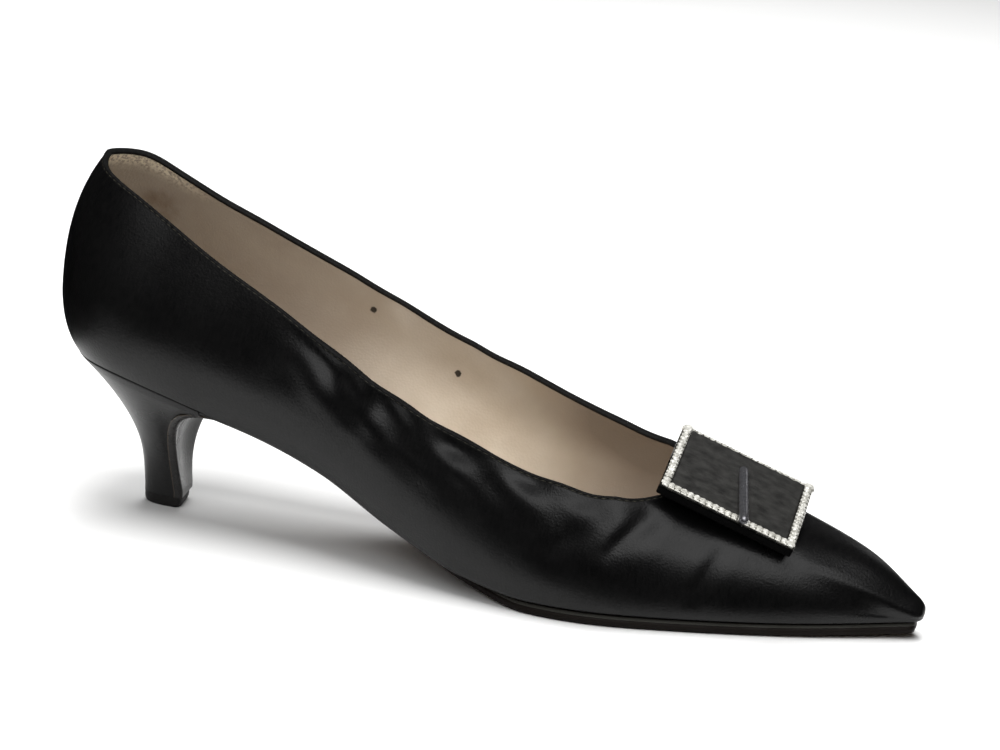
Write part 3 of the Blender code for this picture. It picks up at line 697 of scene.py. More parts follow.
@dataclass(frozen=True)
class KidFinish:
    """Thin kid: pale grain with clouding, painted shade, a rubbed stain and a frayed pale band along the
    topline.
    """

    name: str
    base: Colour = (.57, .485, .39)
    pale: Colour = (.7, .62, .52)
    # Colour of the painted shade, mixed in by the shade mark (at the heel partly wear).
    shade: Colour = (.22, .175, .138)
    stain: Colour = (.13, .072, .036)
    fray: Colour = (.84, .76, .6)
    hole: Colour = (.02, .014, .01)
    clouds: float = 70.0
    smears: float = 170.0
    threads: float = 1200.0
    grain: float = 1400.0
    grain_depth: float = .00006
    worn_holes: tuple[Triple, ...] = ()
    hole_radius: float = .0011

    def material(self) -> bpy.types.Material:
        """Clouded colour, then painted shade, stain, frayed band and worn spots by the mesh's own marks;
        pebbled relief.

        Returns:
            The material.
        """
        shader = Shader(self.name, {"Specular IOR Level": .35, "Sheen Weight": .05})
        place = shader.coords()
        clouds = shader.noise(place, self.clouds, 5.0)
        colour = shader.mixed(shader.spread(clouds), self.base, self.pale)
        # Painted shade: darkened towards the shade colour by the mesh's shade mark.
        colour = shader.mixed(shader.mark("shade"), colour, self.shade)
        smears = shader.spread(shader.noise(place, self.smears), .3, .66)
        colour = shader.mixed(shader.product(shader.mark("stain"), smears), colour, self.stain)
        threads = shader.spread(shader.noise(place, self.threads), .36, .56)
        colour = shader.mixed(shader.product(shader.mark("fray"), threads), colour, self.fray)
        for spot in self.worn_holes:
            colour = shader.mixed(shader.near(spot, self.hole_radius), colour, self.hole)
        shader.colour(colour)
        shader.roughness(shader.spread(clouds, to_low=.5, to_high=.7))
        shader.relief(shader.cells(place, self.grain), self.grain_depth)
        return shader.material


@dataclass(frozen=True)
class SoleFinish:
    """Sole leather: dark stained edge, a paler line along it, and a scuffed tread under the ball."""

    name: str
    edge: Colour = (.006, .004, .003)
    line: Colour = (.036, .035, .03)
    tread: Colour = (.075, .048, .03)
    scuff: Colour = (.2, .15, .105)
    strokes: Triple = (60.0, 420.0, 420.0)
    stroke_depth: float = .00004
    grain: float = 1100.0
    grain_depth: float = .00005

    def material(self) -> bpy.types.Material:
        """Edge, line and tread by the mesh's own marks, scuffs from noise stretched along the shoe.

        Returns:
            The material.
        """
        shader = Shader(self.name, {"Specular IOR Level": .1})
        place = shader.coords()
        strokes = shader.noise(shader.coords(Coords.OBJECT, self.strokes), 1.0, 6.0)
        worn = shader.product(shader.spread(strokes, .52, .72), shader.mark("wear"))
        tread = shader.mixed(worn, self.tread, self.scuff)
        colour = shader.mixed(shader.mark("tread"), self.edge, tread)
        shader.colour(shader.mixed(shader.mark("line"), colour, self.line))
        shader.roughness(shader.spread(strokes, to_low=.42, to_high=.68))
        shader.relief(shader.noise(place, self.grain), self.grain_depth)
        shader.relief(strokes, self.stroke_depth)
        return shader.material


@dataclass(frozen=True)
class LeatherFinish:
    """Glazed black leather with fine grain and a brown raw edge."""

    name: str
    black: Colour = (.006, .0055, .0055)
    soft_black: Colour = (.014, .0125, .012)
    raw: Colour = (.05, .038, .026)
    smooth: float = .2
    dull: float = .36
    gloss: float = .3
    glaze: float = .1
    clouds: float = 160.0
    grain: float = 1700.0
    grain_depth: float = .00003

    def material(self) -> bpy.types.Material:
        """Clouded black, browned by the mesh's own edge mark; pebbled relief under a thin glaze.

        Returns:
            The material.
        """
        constants = {"Specular IOR Level": self.gloss, "Coat Weight": self.glaze, "Coat Roughness": .15}
        shader = Shader(self.name, constants)
        place = shader.coords()
        clouds = shader.noise(place, self.clouds, 4.0)
        colour = shader.mixed(shader.spread(clouds), self.black, self.soft_black)
        shader.colour(shader.mixed(shader.mark("edge"), colour, self.raw))
        shader.roughness(shader.spread(clouds, to_low=self.smooth, to_high=self.dull))
        shader.relief(shader.cells(place, self.grain), self.grain_depth)
        return shader.material


@dataclass(frozen=True)
class MetalFinish:
    """Metal with a little tarnish in its clouding."""

    name: str
    bright: Colour
    tarnish: Colour
    metallic: float = 1.0
    smooth: float = .14
    dull: float = .34
    clouds: float = 700.0
    pitting: float = .00002

    def material(self) -> bpy.types.Material:
        """Clouded colour and roughness.

        Returns:
            The material.
        """
        shader = Shader(self.name, {"Metallic": self.metallic})
        clouds = shader.noise(shader.coords(), self.clouds, 4.0)
        shader.colour(shader.mixed(shader.spread(clouds, .45, .75), self.bright, self.tarnish))
        shader.roughness(shader.spread(clouds, to_low=self.smooth, to_high=self.dull))
        shader.relief(clouds, self.pitting)
        return shader.material


@dataclass(frozen=True)
class PasteFinish:
    """Foil-backed paste: clear, hard and bright, a little different from stone to stone."""

    name: str
    clear: Colour = (.74, .73, .68)
    grey: Colour = (.4, .39, .35)
    stones: float = 620.0

    def material(self) -> bpy.types.Material:
        """Colour by noise about as coarse as the stones, on a nearly smooth foil with a clear coat.

        Returns:
            The material.
        """
        constants = {"Metallic": .3, "Roughness": .12, "Coat Weight": 1.0, "Coat Roughness": .03}
        shader = Shader(self.name, constants)
        stones = shader.noise(shader.coords(), self.stones, 1.0)
        shader.colour(shader.mixed(shader.spread(stones, .4, .7), self.clear, self.grey))
        return shader.material


class Finish(Protocol):
    """Anything that can make the material of a piece."""

    def material(self) -> bpy.types.Material:
        """Make the material."""


def shown(name: str, data: bpy.types.ID) -> bpy.types.Object:
    """New object in the scene, at the origin.

    Args:
        name: name of the object.
        data: its mesh, lamp or camera.

    Returns:
        The object.
    """
    thing = bpy.data.objects.new(name, data)
    bpy.context.scene.collection.objects.link(thing)
    return thing


@dataclass
class Workshop:
    """Turns surfaces into pieces of the shoe in the frame of the solids."""

    shift: Array

    def world(self, points: Array) -> Array:
        """Points of the last in metres in the frame of the solids."""
        return (points + self.shift) * MM

    def mesh(self, name: str, skin: Skin) -> bpy.types.Mesh:
        """Mesh of a closed surface, with its UV map and marks.

        A quad that has lost one corner to welding becomes a triangle, and one that has lost more is dropped.

        Args:
            name: name of the mesh.
            skin: surface in millimetres on the last's axes.

        Returns:
            The mesh, in metres, with its faces pointing out.
        """
        skin = skin.welded().outward()
        again = skin.quads == np.roll(skin.quads, -1, axis=1)
        crossed = (skin.quads[:, :2] == skin.quads[:, 2:]).any(axis=1)
        whole = ~again.any(axis=1) & ~crossed
        thirds = (again.sum(axis=1) == 1) & ~crossed
        keep = ~again[thirds]
        faces = skin.quads[whole].tolist() + skin.quads[thirds][keep].reshape(-1, 3).tolist()
        uv = np.concatenate([skin.uv[whole].reshape(-1, 2), skin.uv[thirds][keep].reshape(-1, 2)])
        mesh = bpy.data.meshes.new(name)
        mesh.from_pydata(self.world(skin.points).tolist(), [], faces)
        mesh.uv_layers.new(name="surface").data.foreach_set("uv", uv.astype(np.float32).ravel())
        for mark, values in skin.marks.items():
            layer = mesh.attributes.new(mark, "FLOAT", "POINT")
            layer.data.foreach_set("value", values.astype(np.float32))
        return mesh

    def piece(self, name: str, skin: Skin, finish: Finish, node: str,
              sharp: float = 40.0) -> None:
        """Make one piece of the shoe, riding on its one body.

        Args:
            name: name of the piece.
            skin: its surface in millimetres on the last's axes.
            finish: what it is made of.
            node: solid that it stands for.
            sharp: angle in degrees past which an edge is shaded sharp; 0 shades every facet flat.
        """
        mesh = self.mesh(name, skin)
        mesh.materials.append(finish.material())
        if sharp > 0:
            mesh.shade_smooth()
            mesh.set_sharp_from_angle(angle=math.radians(sharp))
        thing = shown(name, mesh)
        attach(thing, BODY)
        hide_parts(node)
        LOG.info("%s: %d points, %d faces", name, len(mesh.vertices), len(mesh.polygons))


# Form of a crease, in its own widths: blur of its path, place, width and height of its shoulders. Then the
# share of its length at which it starts to fade.
CREASE_BLUR = .35
SHOULDER_AT = 2.2
SHOULDER_WIDTH = 1.3
SHOULDER_HEIGHT = .25
END_FADE = .06


class Crease(NamedTuple):
    """Soft trough in the satin through three spots.

    Each spot is a row of the last and a share of the topline's height. A negative depth is a ridge. Width
    and depth are in millimetres.
    """

    side: Side
    row_from: float
    up_from: float
    row_mid: float
    up_mid: float
    row_to: float
    up_to: float
    width: float
    depth: float

    def path(self, samples: int = 48) -> Array:
        """Points of the line: a parabola through the three spots, laid on the wall of the last.

        Args:
            samples: how many points.

        Returns:
            Points of shape (samples, 3).
        """
        t = np.linspace(0, 1, samples)
        first, middle, end = 2 * (t - .5) * (t - 1), 4 * t * (1 - t), 2 * t * (t - .5)
        rows = first * self.row_from + middle * self.row_mid + end * self.row_to
        ups = first * self.up_from + middle * self.up_mid + end * self.up_to
        line = LastLine(place_of(rows, self.side))
        return line.wall((ups * line.topline())[:, None])[:, 0]

    def height(self, points: Array) -> Array:
        """Height of the crease at points: a bell trough with two low shoulders, faded to its ends.

        Distance and way along the crease are means over its path, weighted by a bell of the distance.

        Args:
            points: points of the satin.

        Returns:
            Distance along the normal for each point.
        """
        path = self.path()
        square = ((points[:, None] - path[None]) ** 2).sum(axis=2)
        weight = np.exp((square.min(axis=1, keepdims=True) - square) / (CREASE_BLUR * self.width) ** 2)
        weight = weight / weight.sum(axis=1, keepdims=True)
        gap = np.sqrt((weight * square).sum(axis=1)) / self.width
        along = weight @ np.linspace(END_FADE, 1 - END_FADE, len(path))
        bell = np.exp(-gap ** 2)
        shoulders = SHOULDER_HEIGHT * np.exp(-((gap - SHOULDER_AT) / SHOULDER_WIDTH) ** 2)
        return self.depth * np.sqrt(np.sin(math.pi * along)) * (shoulders - bell)


CREASES = [Crease(*row) for row in (
    (Side.OUTER, 5.5, .97, 5.69, .95, 5.9, .93, 2.8, 1.00),
    (Side.OUTER, 5.8, .97, 5.96, .90, 6.13, .79, 3.1, 1.15),
    (Side.OUTER, 6.12, .97, 6.3, .93, 6.49, .84, 3.0, 1.15),
    (Side.OUTER, 6.72, .99, 6.93, .92, 7.2, .88, 3.2, 1.25),
    (Side.OUTER, 6.74, .86, 6.95, .74, 7.2, .71, 3.2, .80),
    (Side.OUTER, 7.46, .91, 7.79, .94, 8.18, .97, 3.2, 1.10),
    (Side.OUTER, 8.42, .96, 8.68, .97, 8.94, .98, 2.8, .80),
    (Side.OUTER, 9.23, .94, 9.44, .93, 9.69, .94, 2.6, .60),
    (Side.OUTER, 9.37, .42, 9.57, .60, 9.84, .81, 3.4, 1.35),
    (Side.OUTER, 10.17, .46, 10.35, .60, 10.58, .76, 3.0, 1.20),
    (Side.OUTER, 11.51, .06, 11.67, .21, 11.86, .40, 1.8, .60),
    (Side.OUTER, 11.05, .86, 11.4, .84, 11.8, .80, 5.0, -1.40),
    (Side.OUTER, 13.1, .47, 14.7, .33, 16.4, .05, 2.2, -.65),
    (Side.INNER, 5.6, .95, 5.9, .90, 6.2, .80, 3.4, .40),
    (Side.INNER, 6.9, .95, 7.2, .88, 7.5, .78, 3.6, .45),
    (Side.INNER, 7.5, .93, 7.8, .88, 8.1, .86, 3.4, -.40),
    (Side.INNER, 8.0, .95, 8.4, .86, 8.8, .74, 3.4, .45),
    (Side.INNER, 9.3, .48, 9.7, .70, 10.2, .90, 3.6, .50),
    (Side.INNER, 10.1, .45, 10.45, .60, 10.8, .68, 3.0, .40),
    (Side.INNER, 11.6, .14, 11.9, .32, 12.3, .50, 1.8, .25),
)]


class ShadeBand(NamedTuple):
    """Painted shade of the kid along the shoe, at the heel partly wear: none at start, its share from full
    on, in mm from the back.
    """

    start: float
    full: float
    share: float


# Heel: wear where the foot rubs, together with painted shade of the deep heel. Toe: painted shade of the toe
# box under the vamp.
HEEL_SHADE = ShadeBand(112.0, 60.0, .58)
TOE_SHADE = ShadeBand(120.0, 172.0, .97)


def painted_shade_and_heel_wear(points: Array) -> Array:
    """Share of darkening of the kid at points: painted shade in the toe under the vamp, painted shade and
    wear in the heel, none at the waist.
    """
    bands = (HEEL_SHADE, TOE_SHADE)
    return sum(band.share * soft_step(band.start, band.full, points[..., 0]) for band in bands)


class Rim(NamedTuple):
    """Closed line of the topline: its points, its outward normals and its ways out of the edge."""

    points: Array
    normals: Array
    way: Array


@dataclass
class Upper:
    """Satin upper with its kid lining, topline binding and stitching. Sizes in millimetres.

    Stain and holes lie at a row of the last, on the inner side, and a share of the topline's height.
    """

    side_columns: int = 150
    throat_columns: int = 34
    vamp_columns: int = 60
    wall_rows: int = 46
    corner_rows: int = 5
    ripple: float = .06
    outer_crumple: float = .22
    inner_crumple: float = .06
    back_swell: float = 1.6
    back_swell_rows: float = 1.3
    binding_section: Pairs = (
        (.6, -.5), (.77, -.05), (.79, .1), (.66, .22), (.8, .31), (.93, .5), (.9, .77), (.7, .99), (.3, 1.12),
        (-.3, 1.12), (-.7, .99), (-.92, .76), (-.95, .5), (-.9, .25), (-.78, .05), (-.6, -.5))
    stitch_length: float = 1.5
    stitch_pitch: float = 2.1
    stitch_radius: float = .13
    stitch_above: float = .22
    stitch_sunk: float = .03
    lining_from: float = .82
    stain_spot: tuple[float, float] = (1.65, .77)
    stain_size: Triple = (5.5, 5.0, 5.0)
    stain_share: float = .9
    holes: Pairs = ((5.66, .84), (6.89, .73))
    # Painted shade of the lining: up the wall near the rim in front, where it leans in, and low down in the
    # heel.
    rim_shade: float = .4
    low_shade: float = .2
    satin: SatinFinish = SatinFinish("upper_satin")
    ribbon: RibbonFinish = RibbonFinish("binding_ribbon")
    thread: RibbonFinish = RibbonFinish("binding_thread", dark=(.02, .019, .014), light=(.05, .047, .034))

    def places(self) -> Array:
        """Places round the loop, spread so that feather edge and topline together advance evenly.

        Returns:
            Places from the back along the inner side, round the tip and back along the outer side.
        """
        parts = []
        sections = ((0, THROAT_SIDE, self.side_columns), (THROAT_SIDE, THROAT, self.throat_columns),
                    (THROAT, TIP, self.vamp_columns))
        for start, end, count in sections:
            dense = np.linspace(start, end, 20 * count)
            line = LastLine(dense)
            way = way_along(line.foot) + way_along(line.wall(line.topline()[:, None])[:, 0])
            parts.append(np.interp(np.linspace(0, way[-1], count + 1), way, dense)[:-1])
        inner = np.concatenate(parts + [[TIP]])
        return np.concatenate([inner, 2 * TIP - inner[-2:0:-1]])

    def unevenness(self, skin: Skin) -> Array:
        """Small unevenness of the satin.

        The ripple is a sine wave along the shoe, bent by a slower one up the wall. The crumples under the
        topline are two crossed waves of that kind, stronger outside. The swell is a bell round the top of the
        back.

        Args:
            skin: the outer surface with its marks.

        Returns:
            Distance along the normal for each point.
        """
        row, up = skin.marks["row"], skin.marks["up"]
        x, z = skin.points[:, 0], skin.points[:, 2]
        ripple = self.ripple * np.sin(x / 6.3 + 1.7 * np.sin(z / 9.0))
        ripple = ripple * soft_step(.1, .5, up) * soft_step(3.0, 6.0, row)
        rising = np.sin(x / 2.2 + z / 3.1 + 2 * np.sin(z / 6.0))
        falling = np.sin(x / 3.3 - z / 2.5 + 1.5 * np.sin(x / 9.0))
        outside = skin.marks["side"] == Side.OUTER.value
        crumple = (rising + falling) * np.where(outside, self.outer_crumple, self.inner_crumple)
        crumple = crumple * soft_step(.45, .8, up) * soft_step(4.6, 5.8, row) * soft_step(10.6, 9.4, row)
        swell = self.back_swell * np.exp(-(row / self.back_swell_rows) ** 2) * soft_step(.55, .95, up)
        return ripple + crumple + swell

    def skin(self) -> Skin:
        """Outer surface: turned-in margin, rounded feather edge and wall up to the topline, with its creases.

        The rows stand evenly up the sides; over the throat they are drawn towards the topline by the cube of
        their height. Creases and unevenness move the points along the normals.

        Returns:
            The surface, with marks for row, side, height on the wall and column.
        """
        place = self.places()
        line = LastLine(place)
        radius = line.column("round")
        turn = np.linspace(0, 1, self.corner_rows + 1)[:-1, None, None]
        corner = line.foot + (1 - turn) ** 3 * radius * line.facing + turn ** 3 * radius * line.rise()
        margin = line.foot + line.column("margin") * line.facing
        top = line.topline()[:, None]
        even = np.minimum(top, LastLine.corner_share().min())
        climb = np.linspace(0, 1, self.wall_rows)
        wall = line.wall(even * climb + (top - even) * climb ** 3)
        under = np.concatenate([margin[None], corner]).transpose(1, 0, 2)
        up = np.concatenate([np.zeros(under.shape[1]), climb])
        skin = grid_skin(np.concatenate([under, wall], axis=1), closed=True, row=line.row[:, None],
                         side=line.side[:, None], up=up[None], column=np.arange(len(place))[:, None]).welded()
        creased = sum(crease.height(skin.points) for crease in CREASES)
        return skin.offset(creased * soft_step(0, .12, skin.marks["up"]) + self.unevenness(skin))

    def rim(self, skin: Skin) -> Rim:
        """Line of the topline, from the throat round the outer side, the heel and the inner side.

        Args:
            skin: the creased outer surface.

        Returns:
            The line with its normals and ways.
        """
        normals = skin.normals()
        on_rim = np.flatnonzero((skin.marks["up"] >= 1) & (skin.marks["row"] <= THROAT + 1e-6))
        columns = skin.marks["column"][on_rim]
        half = columns.max() / 2
        on_rim = on_rim[np.argsort(np.where(columns > half, columns - 2 * columns.max(), columns))]
        points = skin.points[on_rim]
        return Rim(points, normals[on_rim], unit(np.cross(loop_chords(points), normals[on_rim])))

    def build_satin(self, shop: Workshop, skin: Skin) -> None:
        """Satin: the outer surface with the thickness of the cloth."""
        shop.piece("upper_satin", skin.shell(0, -SATIN_CLOTH), self.satin, "upper")

    def inside(self, spot: tuple[float, float]) -> Array:
        """Point of the lining at a row of the last and a share of the topline's height, on the inner side."""
        line = LastLine([spot[0]])
        return line.wall(spot[1] * line.topline()[:, None])[0, 0] + WALL * line.facing[0]

    def build_lining(self, shop: Workshop, skin: Skin) -> None:
        """Lining: the same surface inside the satin, marked with its stain, painted shade and fray.

        The stain is a bell round its spot. Painted shade grows towards the rim in front and towards the sock
        behind, on top of the painted shade along the shoe, and the fray lies along the topline round the
        heel.

        Args:
            shop: where the piece is made.
            skin: the creased outer surface.
        """
        x, up, row = skin.points[:, 0], skin.marks["up"], skin.marks["row"]
        away = np.linalg.norm((skin.points - self.inside(self.stain_spot)) / self.stain_size, axis=1)
        # Painted shade: darker near the rim in front and low down behind, added to the painted shade along
        # the shoe.
        rim_shade = self.rim_shade * soft_step(.45, .85, up) * soft_step(60.0, 115.0, x)
        low_shade = self.low_shade * soft_step(.9, .5, up) * soft_step(120.0, 80.0, x)
        skin.marks["stain"] = self.stain_share * np.exp(-away ** 2)
        skin.marks["shade"] = painted_shade_and_heel_wear(skin.points) + rim_shade + low_shade
        skin.marks["fray"] = soft_step(.945, .98, up) * soft_step(3.2, 1.6, row)
        holes = tuple(tuple(shop.world(self.inside(hole))) for hole in self.holes)
        kid = KidFinish("lining_kid", worn_holes=holes)
        shop.piece("lining", skin.shell(-self.lining_from, -WALL), kid, "upper")

    def build_binding(self, shop: Workshop, rim: Rim) -> None:
        """Binding: a section out from the wall's middle and up from the rim, carried along the topline.

        Below a fine groove the section lies flush with the satin; above it, it swells into a narrow roll.

        Args:
            shop: where the piece is made.
            rim: line of the topline.
        """
        across, height = np.array(self.binding_section).T[:, None, :, None]
        middle = rim.points - rim.normals * WALL / 2
        tube = middle[:, None] + rim.normals[:, None] * across + rim.way[:, None] * height
        skin = grid_skin(tube, closed=True, tube=True)
        shop.piece("topline_ribbon", skin, self.ribbon, "topline_binding", sharp=80)

    def build_stitching(self, shop: Workshop, rim: Rim) -> None:
        """Stitches: small six-sided spindles at an even pitch in the groove of the binding.

        Args:
            shop: where the piece is made.
            rim: line of the topline.
        """
        way = way_along(rim.points)
        at = np.arange(self.stitch_pitch, way[-1] - self.stitch_pitch, self.stitch_pitch)
        x_axis = unit(read_along(at, way, loop_chords(rim.points)))
        z_axis = unit(read_along(at, way, rim.normals))
        frames = np.stack([x_axis, unit(np.cross(z_axis, x_axis)), z_axis], axis=2)
        spots = read_along(at, way, rim.points + rim.way * self.stitch_above - rim.normals * self.stitch_sunk)
        along = np.linspace(-1, 1, 5)[:, None]
        girth = self.stitch_radius * np.sqrt(np.maximum(1 - (.95 * along) ** 2, .02))
        turn = np.arange(6)[None] * math.pi / 3
        half = self.stitch_length / 2
        axes = np.broadcast_arrays(along * half, -girth * np.sin(turn), girth * np.cos(turn))
        stitch = grid_skin(with_poles(np.stack(axes, axis=2)), tube=True).welded()
        skin = repeated(stitch, spots, frames)
        shop.piece("topline_stitches", skin, self.thread, "topline_binding", sharp=80)

    def build(self, shop: Workshop) -> Skin:
        """Build all pieces of the upper.

        Args:
            shop: where the pieces are made.

        Returns:
            The creased outer surface.
        """
        skin = self.skin()
        rim = self.rim(skin)
        self.build_satin(shop, skin)
        self.build_lining(shop, skin)
        self.build_binding(shop, rim)
        self.build_stitching(shop, rim)
        return skin


@dataclass
class Sole:
    """Sock and outsole. Sizes in millimetres."""

    sock_from_row: float = .06
    sock_to_row: float = PLACE["toe turn"] + .5
    sock_thickness: float = 1.8
    sock_inset: float = 1.7
    sock_inset_share: float = .45
    sock_dish: float = .7
    sock_lift: float = .3
    # Share of the painted shade along the shoe (at the heel partly wear) that the sock takes.
    sock_shade: float = .6
    heel_stain: Triple = (42.0, 0.0, 42.0)
    heel_stain_size: Triple = (16.0, 11.0, 20.0)
    heel_stain_share: float = .3
    waist_thickness: float = 2.0
    sole_row: float = 4.32
    tip_inset: float = 1.5
    ball_x: float = 170.0
    ball_wear: float = 26.0
    stations: int = 150
    across: int = 25
    edge_profile: Pairs = (
        (2.2, 0), (.95, .0), (.5, .1), (.1, .24), (.3, .32), (.12, .4), (.0, .55), (.05, .75), (.35, .92),
        (.95, 1.0), (2.4, 1.0))
    line_rows: tuple[int, int] = (2, 3)
    sock_kid: KidFinish = KidFinish("sock_kid", base=(.58, .5, .385), pale=(.7, .63, .51))
    leather: SoleFinish = SoleFinish("sole_leather")

    def build_sock(self, shop: Workshop) -> None:
        """Sock: straight lines between both inner feather edges, dished by a parabola, then thickened.

        Args:
            shop: where the piece is made.
        """
        rows = np.linspace(self.sock_from_row, self.sock_to_row, self.stations)
        slope = np.gradient(last_column("foot_z", rows), last_column("foot_x", rows))
        lift = WALL * np.hypot(1, slope) + GAP + self.sock_thickness + self.sock_lift
        inset = self.sock_inset + self.sock_inset_share * np.maximum(last_column("round", rows) - WALL, 0)
        lines = [LastLine(place_of(rows, side)) for side in (Side.INNER, Side.OUTER)]
        edges = [line.foot + inset[:, None] * line.facing + UPRIGHT * lift[:, None] for line in lines]
        t = np.linspace(0, 1, self.across)[None, :, None]
        top = between(edges[0][:, None], edges[1][:, None], t) - UPRIGHT * self.sock_dish * (4 * t * (1 - t))
        heel = np.linalg.norm((top - self.heel_stain) / self.heel_stain_size, axis=2)
        # The shade mark is painted shade along the shoe, at the heel partly wear.
        skin = grid_skin(top, stain=self.heel_stain_share * np.exp(-heel ** 2), fray=np.zeros((1, 1)),
                         shade=self.sock_shade * painted_shade_and_heel_wear(top))
        shop.piece("sock", skin.shell(0, -self.sock_thickness), self.sock_kid, "insole")

    def build_outsole(self, shop: Workshop) -> None:
        """Outsole: a section with rounded, grooved edges carried from the heel breast to the toe.

        Each edge runs down the profile, whose columns are the way in from the edge and the share of the
        thickness; straight lines across join the two edges above and below.

        Args:
            shop: where the piece is made.
        """
        rows = np.concatenate([np.linspace(self.sole_row, PLACE["toe"], self.stations),
                               np.linspace(PLACE["toe"], TIP - .04, self.stations // 2)[1:]])
        floor_drop = LAST[PLACE["ball"]].foot_z - GAP
        thick = steady_curve([self.sole_row, PLACE["waist"], PLACE["ball"], TIP],
                             [self.waist_thickness, self.waist_thickness, floor_drop, floor_drop], rows)
        lines = [LastLine(place_of(rows, side)) for side in (Side.OUTER, Side.INNER)]
        inset = (last_column("sole", rows) + self.tip_inset * soft_step(TIP - 1.6, TIP, rows))[:, None]
        rims = [line.foot + inset * line.facing - UPRIGHT * GAP for line in lines]
        half = np.linalg.norm(rims[1] - rims[0], axis=1)[:, None] / 2
        ways, drops = np.array(self.edge_profile).T
        ways = ways[None] * np.minimum(1, half / (1.25 * ways.max()))
        edges = [rim[:, None] + ways[:, :, None] * line.facing[:, None]
                 - UPRIGHT * (drops[None] * thick[:, None])[:, :, None] for rim, line in zip(rims, lines)]
        t = np.linspace(0, 1, self.across)[None, 1:-1, None]
        below = between(edges[0][:, -1:], edges[1][:, -1:], t)
        above = between(edges[1][:, :1], edges[0][:, :1], t)
        loop = np.concatenate([edges[0], below, edges[1][:, ::-1], above], axis=1)
        count, spot = len(drops), np.arange(loop.shape[1])
        far_edge = count + below.shape[1]
        mirrored = np.where(spot < count, spot, far_edge + count - 1 - spot)
        on_line = (mirrored >= self.line_rows[0]) & (mirrored <= self.line_rows[1])
        tread = (spot >= count - 2) & (spot <= far_edge + 1)
        ball = np.exp(-((loop[:, :, 0] - self.ball_x) / self.ball_wear) ** 2)
        front = soft_step(7.4, 8.6, rows)[:, None]
        ends = ((1, 1), (0, 0))
        skin = grid_skin(with_poles(loop), tube=True, line=np.pad(on_line[None] * front, ends, "edge"),
                         tread=tread[None], wear=np.pad(ball, ends, "edge"))
        shop.piece("outsole_leather", skin, self.leather, "outsole", sharp=50)

    def build(self, shop: Workshop) -> None:
        """Build the sock and the outsole."""
        self.build_sock(shop)
        self.build_outsole(shop)


class HeelRib(NamedTuple):
    """Rib of the heel at a row of the last: handles of its curve at the seat and at the tip."""

    row: float
    seat_in: float
    seat_back: float
    seat_down: float
    tip_back: float
    tip_out: float
    tip_up: float


